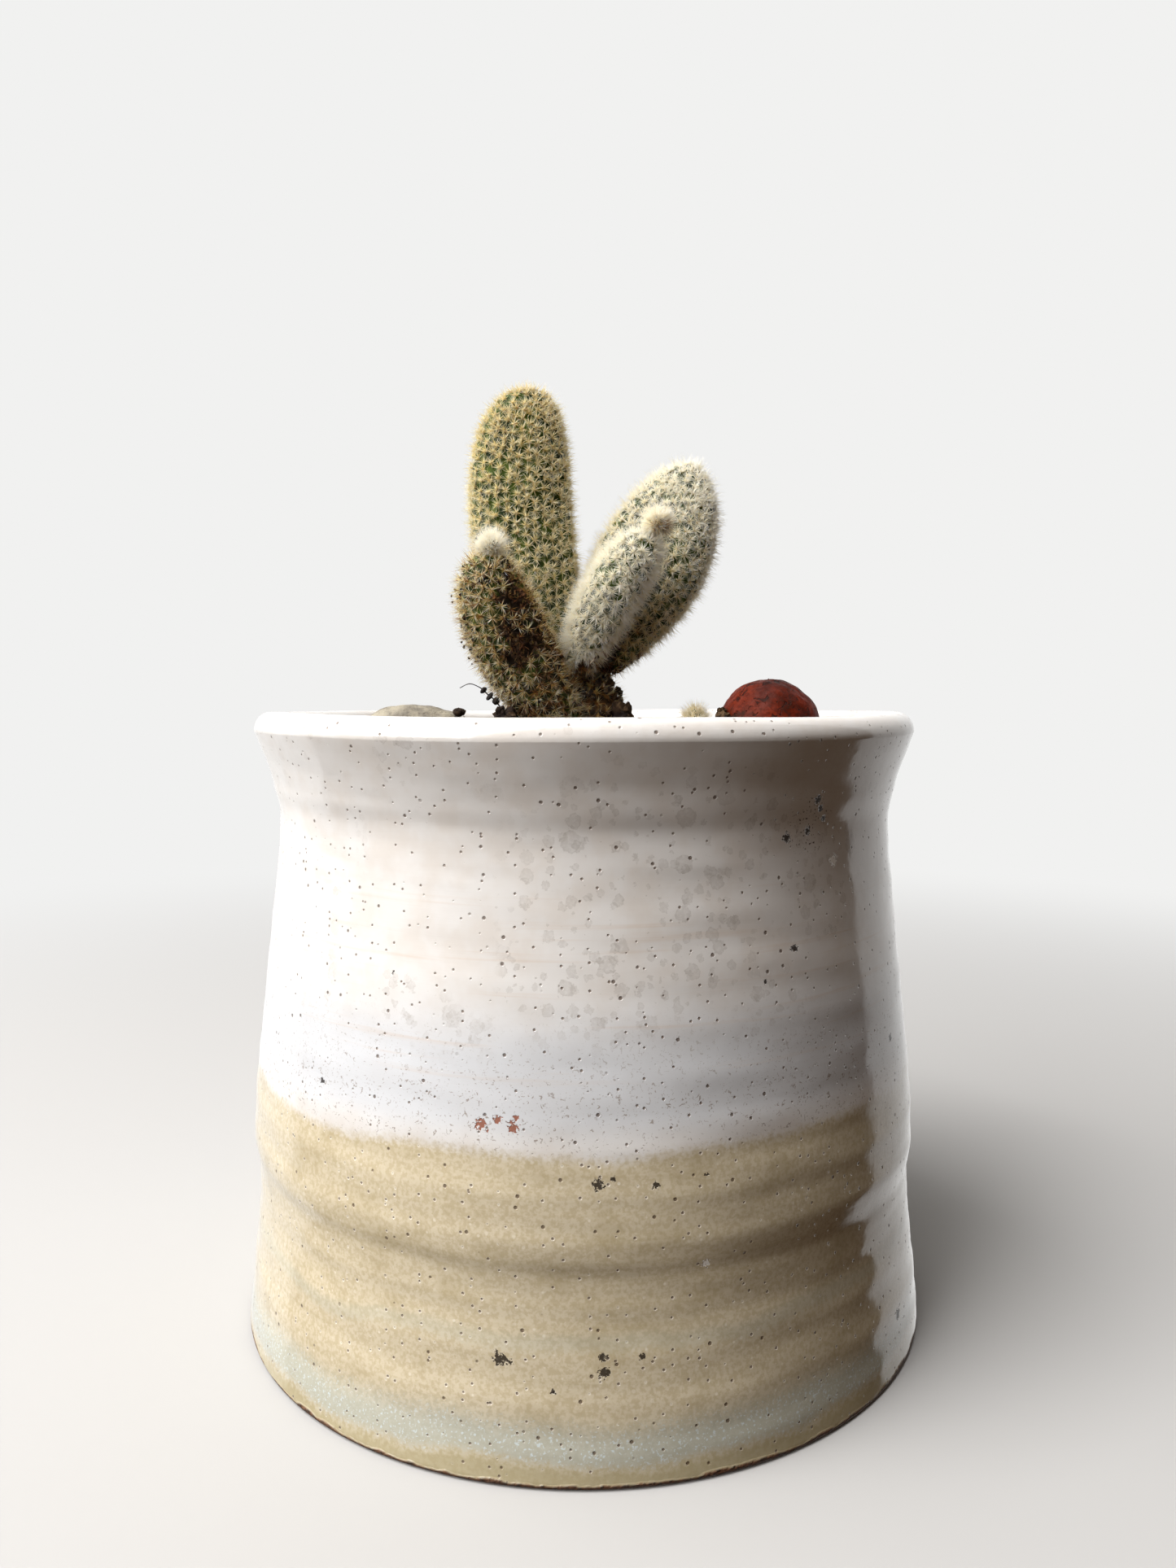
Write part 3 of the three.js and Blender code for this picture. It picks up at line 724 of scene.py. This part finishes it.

# Each pad: its size, how it stands, and the look of its coat. root is where it leaves the stem, as shares of
# the stem's half widths and millimetres under its top. short and long are hairs to a tuft, and shades run from
# 0, dark, to 15, cream. The number after the shades is how many more shades at the tip and how many fewer at
# the foot: on the broad and front right pads this is painted light, paler where the tip is lit and darker where
# the foot is in shade, and on the tall pad it makes the foot paler, for dust and painted light both. The last
# entry is soil caught in the coat, and in one patch on the front left pad painted shade as well: a place in the
# pad's box, a radius along each axis, and a strength.
padShapes = {
    "pad_tall": {
        "length": 42.2, "width": 14.2, "thickness": 9.6, "squareness": 2.7, "taper": 0.05, "bow": -2.3,
        "root": (-0.62, 0.2, 2.6), "lean": -6.2, "reach": 5.4, "turn": 8, "seed": 101, "lengthShare": 0.95,
        "short": 27, "long": 10, "shades": (6.8, 12.2), "tipLightAndDust": -2.2,
        "dirtAndShade": [((0.75, 0.3, 0.02), (4, 5, 3.5), 0.7)],
    },
    "pad_broad": {
        "length": 34.4, "width": 15.3, "thickness": 9.8, "squareness": 1.7, "taper": 0.2, "bow": 0.9,
        "root": (-0.1, 0.15, 1.4), "lean": 28.2, "reach": 6, "turn": -12, "seed": 102, "lengthShare": 1.05,
        "short": 38, "long": 11, "shades": (10.0, 14.4), "tipLightAndDust": 2.8,
        "dirtAndShade": [((0.05, 0.3, 0.06), (6.5, 6, 5.5), 0.8)],
    },
    "pad_front_left": {
        "length": 27, "width": 10.8, "thickness": 8.4, "squareness": 2.3, "taper": 0.08, "bow": -1.5,
        "root": (-0.26, -0.6, 8.3), "lean": -27, "reach": -13.8, "turn": -20, "seed": 103,
        "lengthShare": 1.05, "short": 24, "long": 14, "shades": (5.6, 13.2), "tipLightAndDust": 0,
        "dirtAndShade": [
            ((0.50, 0.18, 0.50), (3.0, 3.8, 4.2), 1),
            ((0.46, 0.1, 0.74), (3.2, 3.6, 3.0), 0.95),
            ((0.62, 0.35, 0.12), (3.8, 4.5, 2.6), 0.9),
            ((0.76, 0.3, 0.45), (4.0, 5.5, 10.5), 0.62),
            # soil and painted shade both: this patch darkens the middle of the pad
            ((0.33, 0.15, 0.62), (2.6, 3.5, 5.0), 0.45),
            ((0.5, 0.3, 0.5), (12, 12, 20), 0.38),
        ],
    },
    "pad_front_right": {
        "length": 22.6, "width": 7.2, "thickness": 7.2, "squareness": 2.1, "taper": 0.3, "bow": -0.8,
        "root": (-0.31, -0.45, 1), "lean": 29.6, "reach": -23, "turn": 0, "seed": 104, "lengthShare": 1.15,
        "short": 44, "long": 22, "shades": (12.0, 15.4), "tipLightAndDust": 0.6,
        "dirtAndShade": [((0.25, 0.7, 0.02), (3.5, 4, 2.2), 0.8)],
    },
}


def standing(point, lean, reach, turn):
    # axes of a body stood on a point: up is tipped right by lean and back by reach, and the body is
    # first turned about its own length
    right, back, spin = (math.radians(angle) for angle in (lean, reach, turn))
    up = unit(np.array([math.tan(right), math.tan(back), 1.0]))
    across = unit(np.cross((0, 1, 0), up))
    behind = np.cross(up, across)
    cosine, sine = math.cos(spin), math.sin(spin)
    axes = np.array([cosine * across + sine * behind, cosine * behind - sine * across, up])
    return lambda points: points @ axes + point


def section(shape, c):
    # the share of the full section at c, from -1 at the foot to 1 at the tip: (1 - |c|^n)^(1/n),
    # widened toward the tip by the taper
    n = shape["squareness"]
    return np.maximum(1 - np.abs(c) ** n, 0) ** (1 / n) * (1 + shape["taper"] * c)


def swell(shape, c, angle, grow):
    # the point at c and at an angle round: the section's ellipse, moved sideways by the bow
    size = section(shape, c)
    half = shape["length"] / 2
    return np.stack([
        np.cos(angle) * size * (shape["width"] / 2 + grow) + shape["bow"] * (1 - c * c),
        np.sin(angle) * size * (shape["thickness"] / 2 + grow),
        half + c * (half + grow),
    ], -1)


def outward(shape, c, angle, grow):
    # unit normal, from the cross of the steps round and along
    step = 1e-3
    c = np.clip(c, -1 + 2 * step, 1 - 2 * step)
    aside = swell(shape, c, angle + step, grow) - swell(shape, c, angle - step, grow)
    along = swell(shape, c + step, angle, grow) - swell(shape, c - step, angle, grow)
    return unit(np.cross(aside, along))


def bodyGrid(shape, rows, columns, grow):
    # the points and normals of a swollen body, row by row from foot to tip, and the grid's form
    c = np.sin(np.linspace(-1, 1, rows + 2)[1:-1] * math.pi / 2)
    angle = np.linspace(0, 2 * math.pi, columns, endpoint=False)
    c, angle = np.meshgrid(c, angle, indexing="ij")
    points = swell(shape, c, angle, grow).reshape(-1, 3)
    return points, outward(shape, c, angle, grow).reshape(-1, 3), (rows, columns, 3)


def areoles(shape, step, grow, rng):
    # tufts stand in lengthwise rows, each row half a step on from the one beside it; where the body
    # narrows, first every second row is dropped, then more, so that they don't crowd
    angle = np.linspace(0, 2 * math.pi, 721)
    ring = swell(shape, np.zeros(721), angle, grow)
    girth = np.concatenate([[0], np.cumsum(np.linalg.norm(np.diff(ring, axis=0), axis=1))])
    c = np.sin(np.linspace(-1, 1, 801) * math.pi / 2 * 0.999)
    side = swell(shape, c, np.zeros(801), grow)
    rise = np.concatenate([[0], np.cumsum(np.linalg.norm(np.diff(side, axis=0), axis=1))])
    rows = int(round(girth[-1] / step / 4)) * 4
    steps = int(rise[-1] / step) + 1
    row, place = np.meshgrid(np.arange(rows), np.arange(steps), indexing="ij")
    along = (place + 0.25 + 0.5 * (row % 2) + rng.normal(0, 0.11, row.shape)) * step
    at = np.interp(along, rise, c)
    turn = (row + rng.normal(0, 0.11, row.shape)) / rows * girth[-1]
    around = np.interp(turn % girth[-1], girth, angle) + 0.25 * at
    keep = (along < rise[-1] - 0.1) & (along > 0.3)
    for narrow, every in ((0.62, 2), (0.32, 4), (0.15, 8)):
        keep &= (section(shape, at) > narrow) | (row % every == 0)
    return at[keep], around[keep]


def dirtAndShadeAt(points, dirtAndShade):
    # how much dirt and painted shade each point has: a patch's strength in its middle and 0 beyond its radius,
    # ragged between
    dirtAndShadeLevel = np.zeros(len(points))
    for centre, radius, strength in dirtAndShade:
        away = np.linalg.norm((points - centre) / radius, axis=1)
        away = away + 0.42 * ripple(points, 2.6, 9) + 0.3 * ripple(points, 1.1, 10)
        dirtAndShadeLevel = np.maximum(dirtAndShadeLevel, strength * (1 - smoothStep(away, 0.5, 1.15)))
    return dirtAndShadeLevel


def dirtAndShadeOn(node, look):
    # a look's patches of dirt and painted shade, with their places in the CAD node's box worked out
    return [(inBox(node, *place), radius, strength) for place, radius, strength in look.get("dirtAndShade", [])]


def makeFlesh(name, node, shape, where, grow, step, material, spots, rows, columns, dirtAndShade=()):
    # the body's grid, pushed out in a low bump under each tuft and a little uneven all over; the tuft value is
    # 1 at a tuft and 0 between them, and the second value is 1 in a patch of dirt and painted shade
    points, normal, form = bodyGrid(shape, rows, columns, grow)
    near = nearest(points, swell(shape, *spots, grow))
    tuft = np.exp(-(near / (step * 0.36)) ** 2)
    rise = plant["bump"] * (tuft - 0.5) + 0.12 * ripple(points, 6, 5)
    points = where(points + normal * rise[:, None])
    low, high = where(swell(shape, np.array([-1.0, 1.0]), np.zeros(2), grow))
    values = {"tuft": np.append(tuft, [0, 1]), "dirtAndShade": np.append(dirtAndShadeAt(points, dirtAndShade), [0, 0])}
    addPiece(name, shellShape(points.reshape(form), low, high), material, [node], values=values)


shadeCount = 16


def hairShape(roots, directions, lengths, widths, shades):
    # each hair is a slim three-sided cone; its map holds its shade across and its length upward
    count = len(roots)
    side = unit(np.cross(directions, np.where(np.abs(directions[:, 2:]) < 0.9, (0, 0, 1), (1, 0, 0))))
    other = np.cross(directions, side)
    turns = np.radians([90, 210, 330])
    foot = (roots[:, None] + widths[:, None, None] / 2 * (
        np.cos(turns)[None, :, None] * side[:, None] + np.sin(turns)[None, :, None] * other[:, None]))
    tip = roots + directions * lengths[:, None]
    points = np.concatenate([foot, tip[:, None]], 1).reshape(-1, 3)
    faces = np.array([(0, 1, 3), (1, 2, 3), (2, 0, 3), (0, 2, 1)])
    allFaces = (faces[None] + 4 * np.arange(count)[:, None, None]).reshape(-1, 3)
    corner = np.array([(0.1, 0.02), (0.9, 0.02), (0.5, 0.1), (0.5, 0.98)])[faces.ravel()]
    band = np.repeat(np.clip(np.round(shades), 0, shadeCount - 1), faces.size)
    uv = np.tile(corner, (count, 1))
    uv[:, 0] = (band + uv[:, 0]) / shadeCount
    return (points, [allFaces]), uv


def tuftHairs(spots, normals, count, tilts, lengths, width, shades, rng, cast):
    # hairs of one kind from every tuft: each leans away from the normal by a tilt, all round it,
    # and toward the cast
    total = len(spots) * count
    normal = np.repeat(normals, count, 0)
    side = unit(np.cross(normal, rng.normal(size=(total, 3))))
    tilt = np.radians(rng.uniform(*tilts, total))
    direction = unit(normal * np.cos(tilt)[:, None] + side * np.sin(tilt)[:, None] + np.array(cast))
    roots = np.repeat(spots, count, 0) + side * rng.uniform(0, 0.16, (total, 1)) - normal * 0.06
    length = rng.uniform(*lengths, total)
    shade = rng.uniform(*shades, total)
    return roots, direction, length, np.full(total, width) * rng.uniform(0.75, 1.15, total), shade


def coat(name, shape, where, grow, spots, look, material, dirtAndShade=(), width=plant["hairWidth"]):
    # short hairs lie out from each tuft like a star, and longer ones stand up through them; a hair's shade is
    # its own plus the pad's tip shift times its place along the body, which is painted light that makes lit
    # tips paler and shaded feet darker, and hairs in a patch of dirt and painted shade are dark, and up to half
    # of them are gone
    rng = np.random.default_rng(look["seed"] + 500)
    points = where(swell(shape, *spots, grow))
    tips = where(swell(shape, *spots, grow) + outward(shape, *spots, grow))
    normals = unit(tips - points)
    points = points + normals * plant["bump"] * 0.45
    short, long = (np.array(plant[kind]) * look["lengthShare"] for kind in ("shortHair", "longHair"))
    cast, (darkest, palest) = look.get("cast", (0, 0, 0)), look["shades"]
    sets = [
        tuftHairs(points, normals, look["short"], (38, 86), short, width, (darkest, palest), rng, cast),
        tuftHairs(points, normals, look["long"], (5, 48), long, width * 0.8, (darkest + 1.5, palest + 1),
                  rng, cast),
    ]
    roots, directions, lengths, widths, shades = (np.concatenate(each) for each in zip(*sets))
    place = np.concatenate([np.repeat(spots[0], look["short"]), np.repeat(spots[0], look["long"])])
    # painted light: lit tips get paler shades and shaded feet darker ones, and on the tall pad the foot is
    # paler for dust and light both
    shades = shades + look.get("tipLightAndDust", 0) * place
    dirtAndShadeLevel = dirtAndShadeAt(roots, dirtAndShade)
    keep = rng.uniform(0, 1, len(roots)) > 0.45 * dirtAndShadeLevel ** 2
    darkenedShades = rng.uniform(0, 1, len(roots)) * (8 - 5.5 * dirtAndShadeLevel) + 1.2 * (1 - dirtAndShadeLevel)
    shades = np.where(rng.uniform(0, 1, len(roots)) < dirtAndShadeLevel * 1.25, darkenedShades, shades)
    hairs, uv = hairShape(roots[keep], directions[keep], lengths[keep], widths[keep], shades[keep])
    addPiece(name, hairs, material, smooth=False, uv=uv)


def makeSkin():
    # Living cactus skin: a waxy green, dark in the hollows between tufts and tan to orange where the
    # bristles come out, which the eye gets only in the gaps of the coat.
    material, add = startMaterial("cactusSkin", Roughness=0.6, IOR=1.42, Specular_IOR_Level=0.2,
                                  Subsurface_Weight=0.08, Subsurface_Scale=0.6 * mm)
    place = placeIn(add)
    colour = tint(add, "#1c2b08", "#4a5c17", add("TexNoise", place, 0.35, 3, 0.55), 0.35, 0.7)
    tuft = add("Attribute", attribute_name="tuft", output="Fac")
    colour = tint(add, colour, "#cbb069", tuft, 0.45, 0.95, 0.9)
    # near black brown in the patches of soil, and in the painted shade on the front left pad's middle
    dirtAndShade = add("Attribute", attribute_name="dirtAndShade", output="Fac")
    colour = tint(add, colour, "#1c140d", dirtAndShade, 0.25, 0.75)
    fine = add("TexNoise", place, 3, 2, 0.55)
    return setShader(material, Base_Color=colour, Normal=add("Bump", 0.4, 0.1 * mm, Height=fine))


bristleShades = [
    (0.0, "#1c130d"), (0.12, "#44291a"), (0.24, "#8d5527"), (0.34, "#b78a4f"), (0.44, "#ceb16a"),
    (0.56, "#e0ca88"), (0.68, "#f1e0a8"), (0.8, "#fbecc2"), (0.9, "#fef6d8"), (1.0, "#fffcec")]


def makeBristle():
    # Dry hair-like spines: stiff, thin and pale, cream to white when clean and brown where soil has
    # caught in them, a little deeper in colour at the root, with light coming through them. The shade
    # runs across the hair's map.
    material, add = startMaterial("dryBristles", Roughness=0.6, Specular_IOR_Level=0.3,
                                  Subsurface_Weight=0.85, Subsurface_Radius=(1.0, 0.85, 0.6),
                                  Subsurface_Scale=0.25 * mm)
    across = add("SeparateXYZ", add("UVMap", uv_map="OFBake"))
    shade = add("ValToRGB", across)
    ramp = shade.node.color_ramp.elements
    while len(ramp) < len(bristleShades):
        ramp.new(0.5)
    for element, (place, colour) in zip(ramp, bristleShades):
        element.position, element.color = place, linear(colour)
    root = add("MapRange", across.node.outputs["Y"], 0.5, 0.0, 0, 0.15, **soft)
    return setShader(material, Base_Color=add("Mix", root, shade, "#d8b878", blend_type="MULTIPLY", **rgba))


skin = makeSkin()
bristle = makeBristle()
padPlaces = {}
for name, shape in padShapes.items():
    rootX, rootY, drop = shape["root"]
    foot = plantPlace + (rootX * stemSize[0] / 2, rootY * stemSize[1] / 2, plant["rise"] - drop)
    where = padPlaces[name] = standing(foot, shape["lean"], shape["reach"], shape["turn"])
    grow, dirtAndShade = -plant["fleshDepth"], dirtAndShadeOn(name, shape)
    spots = areoles(shape, plant["areoleStep"], grow, np.random.default_rng(shape["seed"]))
    rows, columns = int(shape["length"] * 4.2), int((shape["width"] + shape["thickness"]) * 6.4)
    makeFlesh(name + "_skin", name, shape, where, grow, plant["areoleStep"], skin,
              spots, rows, columns, dirtAndShade)
    coat(name + "_spines", shape, where, grow, spots, shape, bristle, dirtAndShade)
print("pads are made")

# Buds and the young offset: core is the flesh's share of the CAD box, and cast is the way the wool leans.
sproutStep = 0.62
sprouts = {
    "bud_front_right": {
        "short": 30, "long": 26, "shades": (10.5, 15.4), "seed": 111, "lengthShare": 1.15, "core": 0.62,
        # the patch on this bud makes the wool at its lower right darker and pinkish brown
        "cast": (0.1, 0, 0.15), "dirtAndShade": [((0.85, 0.15, 0.2), (1.6, 2.2, 1.6), 0.5)]},
    "bud_front_left": {
        "short": 30, "long": 30, "shades": (12, 15.4), "seed": 112, "lengthShare": 1.15, "core": 0.6,
        "cast": (-0.15, -0.1, 0.55), "dirtAndShade": [((0.5, 0.1, 0.0), (1.8, 2.0, 0.9), 0.5)]},
    "young_offset": {
        "short": 28, "long": 16, "shades": (7.5, 13.5), "seed": 113, "lengthShare": 0.95, "core": 0.9,
        "cast": (0, 0, 0.3)},
}


def makeSprout(node, look):
    # a little egg inside the CAD box, with hair from close-set tufts that leans upward
    middle, size = boxOf(node)[2:]
    core = size * look["core"]
    shape = {"length": core[2], "width": core[0], "thickness": core[1], "squareness": 2.1, "taper": 0, "bow": 0}
    where = standing(middle - (0, 0, core[2] / 2), 0, 0, 0)
    spots = areoles(shape, sproutStep, 0, np.random.default_rng(look["seed"]))
    makeFlesh(node + "_core", node, shape, where, 0, sproutStep, skin, spots, 40, 48)
    coat(node + "_wool", shape, where, 0, spots, look, bristle, dirtAndShadeOn(node, look),
         plant["woolWidth"])


for node, look in sprouts.items():
    makeSprout(node, look)

stem = {
    "length": stemSize[2], "width": stemSize[0], "thickness": stemSize[1],
    "squareness": 2.8, "taper": 0.05, "bow": 0,
    "short": 16, "long": 7, "shades": (2.5, 9.0), "seed": 121, "lengthShare": 1.05,
    "step": 1.7, "grow": -0.5, "rows": 90, "columns": 130,
}


def makeStemBark():
    # The old stem: corky brown knobs with tan tufts and soil packed between them, rough and dull.
    material, add = startMaterial("corkyStem", Roughness=0.85, Specular_IOR_Level=0.3)
    noise = add("TexNoise", placeIn(add), 0.8, 4, 0.6)
    colour = tint(add, "#20150e", "#6e4c26", noise, 0.4, 0.65)
    tuft = add("Attribute", attribute_name="tuft", output="Fac")
    colour = tint(add, colour, "#a87b3a", tuft, 0.4, 0.9, 0.75)
    return setShader(material, Base_Color=colour, Normal=add("Bump", 0.9, 0.3 * mm, Height=noise))


stemWhere = standing(np.array([stemMiddle[0], stemMiddle[1], stemLow[2]]), 0, 0, 0)
stemSpots = areoles(stem, stem["step"], stem["grow"], np.random.default_rng(stem["seed"]))
makeFlesh("stem_knobs", "stem_base", stem, stemWhere, stem["grow"], stem["step"], makeStemBark(),
          stemSpots, stem["rows"], stem["columns"])
coat("stem_spines", stem, stemWhere, stem["grow"], stemSpots, stem, bristle)

clinging = {
    "pads": ("pad_front_left", "pad_broad", "pad_front_right", "pad_tall"),
    "tries": 5200,  # places tried on each pad, of which the dirty ones are taken
    "chance": 0.4,
    "padCrumb": (0.18, 0.62),
    "stemCrumbs": 430,
    "stemCrumb": (0.25, 1.0),
    "specks": 22,  # held off the front left pad's outer edge by its hairs
    "slivers": 12,  # of bark, caught between the pads
}


def makeClingingSoil():
    # crumbs at random places on the dirty patches and round the foot of the stem, then loose specks
    # and slivers; each place is a point of the body's surface
    rng = np.random.default_rng(131)
    centres, sizes = [], []
    tries = clinging["tries"]
    for name in clinging["pads"]:
        shape = padShapes[name]
        c, angle = rng.uniform(-0.97, 0.98, tries), rng.uniform(0, 2 * math.pi, tries)
        depth = rng.uniform(-0.3, 0.35, tries)[0]
        points = padPlaces[name](swell(shape, c, angle, depth))
        chosen = points[rng.uniform(0, 1, tries) < clinging["chance"] * dirtAndShadeAt(points, dirtAndShadeOn(name, shape))]
        centres.append(chosen)
        sizes.append(crumbSizes(rng, *clinging["padCrumb"], len(chosen)))
    count = clinging["stemCrumbs"]
    c, angle = rng.uniform(-0.2, 0.97, count), rng.uniform(0, 2 * math.pi, count)
    centres.append(stemWhere(swell(stem, c, angle, 0.15)))
    sizes.append(crumbSizes(rng, *clinging["stemCrumb"], count))

    count = clinging["specks"]
    c, angle = rng.uniform(0.0, 0.85, count), math.pi + rng.uniform(-0.7, 0.5, count)
    centres.append(padPlaces["pad_front_left"](swell(padShapes["pad_front_left"], c, angle, 0.6)))
    sizes.append(rng.uniform(0.18, 0.5, (count, 3)))
    count = clinging["slivers"]
    centres.append(inBox("pad_front_left", 1.0, 0.2, 0.3)
                   + rng.uniform((-2, -2.5, -5), (4.5, 1, 4), (count, 3)))
    sizes.append(rng.uniform((0.7, 0.15, 0.15), (1.8, 0.3, 0.3), (count, 3)))
    addPiece("soil_in_coats", crumbs(np.concatenate(centres), np.concatenate(sizes), rng), soilMatter,
             smooth=False)


makeClingingSoil()
print("buds, stem and the soil on them are made")

stones = {  # ripples are a depth and a length each
    "clay_ball": {"squareness": 2.0, "ripples": ((0.16, 7), (0.07, 2.6), (0.03, 1.1)), "seed": 61},
    "grey_pebble": {"squareness": 2.6, "ripples": ((0.35, 9), (0.12, 3.5), (0.04, 1.2)), "seed": 71},
}


def makeStone(node, name, material):
    # a rounded body as wide, deep and high as its CAD box, pushed in and out along its normals
    middle, size = boxOf(node)[2:]
    look = stones[node]
    shape = {"length": size[2], "width": size[0], "thickness": size[1], "squareness": look["squareness"],
             "taper": 0, "bow": 0}
    points, normal, form = bodyGrid(shape, 110, 150, 0)
    foot = middle - (0, 0, size[2] / 2)
    points = points + normal * ripples(points, look["ripples"], look["seed"])[:, None] + foot
    addPiece(name, shellShape(points.reshape(form), foot, foot + (0, 0, size[2])), material, [node])


def makeFiredClay():
    # Expanded clay pellet, tumbled and kiln-fired: a red-brown skin with a low sheen, darker scorched marks,
    # pinholes, and a darker brown over its lower part.
    material, add = startMaterial("firedClayPellet", IOR=1.5, Specular_IOR_Level=0.1)
    place = placeIn(add)
    broad = add("TexNoise", place, 0.22, 4, 0.6)
    fine = add("TexNoise", place, 1.5, 4, 0.65)
    colour = tint(add, "#3f1106", "#66200b", broad, 0.35, 0.65)
    colour = tint(add, colour, "#3f130b", fine, 0.5, 0.64, 0.65)
    marks = add("MapRange", add("TexNoise", place, 0.55, 3, 0.7, Distortion=1.5), 0.42, 0.36, **soft)
    colour = add("Mix", add("Math", marks, 0.85, **times), colour, "#1f0e0a", **rgba)
    # darker brown over the lower part of the ball, below a wavy line at about 77 to 82.5 mm, broken up by noise
    height = add("SeparateXYZ", place, output="Z")
    edge = add("Math", height, add("MapRange", broad, 0.3, 0.7, -2.2, 2.2, **soft), **plus)
    lowerDarkening = add("Math", add("MapRange", edge, 82.5, 77, **soft),
                add("MapRange", fine, 0.42, 0.58, 0, 0.9, **soft), **times)
    colour = add("Mix", lowerDarkening, colour, "#2a1a11", **rgba)
    rough = add("MapRange", fine, 0.3, 0.7, 0.42, 0.75)
    relief = add("Math", marks, -0.1, add("Math", fine, 0.12, **times), **timesPlus)
    return setShader(material, Base_Color=colour, Roughness=rough, Normal=add("Bump", 1.0, mm, Height=relief))


def makeGreyStone():
    # River-worn pebble, matt and pale grey-beige with dark mineral flecks, and darker brown over its lower
    # part.
    material, add = startMaterial("riverPebble", Roughness=0.7, Specular_IOR_Level=0.4)
    place = placeIn(add)
    broad = add("TexNoise", place, 0.3, 4, 0.6)
    fine = add("TexNoise", place, 2.2, 3, 0.65)
    colour = tint(add, "#716a5e", "#99917f", broad, 0.35, 0.65)
    colour = tint(add, colour, "#5f564b", fine, 0.6, 0.7, 0.7)
    # darker brown over the lower part of the pebble, below a wavy line at about 75 to 78 mm
    height = add("SeparateXYZ", place, output="Z")
    edge = add("Math", height, add("MapRange", broad, 0.3, 0.7, -2, 2, **soft), **plus)
    colour = tint(add, colour, "#382a1e", edge, 78.3, 75, 0.85)
    return setShader(material, Base_Color=colour, Normal=add("Bump", 0.7, 0.3 * mm, Height=fine))


makeStone("clay_ball", "fired_clay_ball", makeFiredClay())
makeStone("grey_pebble", "river_pebble", makeGreyStone())

rootlet = {
    # shares of the CAD rootlet's box, from the lump out to the thread's free end
    "path": [(1.0, 0.5, 0.0), (0.86, 0.55, 0.3), (0.7, 0.5, 0.52), (0.52, 0.52, 0.8), (0.25, 0.45, 0.98),
             (0.0, 0.5, 0.8)],
    "thread": 0.2,
    "thinning": 0.55,
    "beads": [(0.16, 0.75, 0.07), (0.34, 1.1, 0.055), (0.53, 0.9, 0.05)],  # place, width, half length
    "roughness": (0.22, 0.7),
    "rings": 120,
    "sides": 16,
}


def makeDryFibre():
    # A dead rootlet with seed-like crumbs on it, dry, near black and matt.
    material, add = startMaterial("dryRootlet", Roughness=0.9)
    noise = add("TexNoise", placeIn(add), 1.6, 3, 0.55)
    return setShader(material, Base_Color=tint(add, "#15100d", "#4a3a2c", noise, 0.45, 0.75))


def makeRootlet(material):
    # a thread carried along its path, swelling into a bead at three places and rough on its surface
    low, high, middle, size = boxOf("dry_rootlet")
    path = smoothThrough(low + np.array(rootlet["path"]) * size, rootlet["rings"])
    share = np.linspace(0, 1, len(path))
    width = rootlet["thread"] * (1 - rootlet["thinning"] * share)
    for place, bead, reach in rootlet["beads"]:
        width = width + bead * np.sqrt(np.maximum(1 - ((share - place) / reach) ** 2, 0))
    ahead = unit(np.gradient(path, axis=0))
    side = unit(np.cross(ahead, (0, 1, 0)))
    over = np.cross(ahead, side)
    angles = np.linspace(0, 2 * math.pi, rootlet["sides"], endpoint=False)
    ring = np.cos(angles)[None, :, None] * side[:, None] + np.sin(angles)[None, :, None] * over[:, None]
    points = path[:, None] + ring * width[:, None, None] / 2
    depth, length = rootlet["roughness"]
    rough = 1 + depth * ripple(points.reshape(-1, 3), length, 81).reshape(points.shape[:2])
    points = path[:, None] + ring * (width[:, None] / 2 * rough)[..., None]
    shape = shellShape(points, path[0], path[-1])
    addPiece("rootlet_thread", shape, material, ["dry_rootlet"])


makeRootlet(makeDryFibre())


def makeRootBark():
    # Young cactus root under the soil: a pale fibrous bark with soil in its grooves.
    material, add = startMaterial("fibrousRootBark", Roughness=0.85)
    noise = add("TexNoise", placeIn(add, (1.2, 1.2, 0.25)), 1.0, 4, 0.6)
    colour = tint(add, "#7b6140", "#b99b6c", noise, 0.35, 0.65)
    return setShader(material, Base_Color=colour, Normal=add("Bump", 0.8, 0.3 * mm, Height=noise))


rootBark = makeRootBark()
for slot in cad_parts["roots"].material_slots:
    slot.material = rootBark
print("every piece is made")
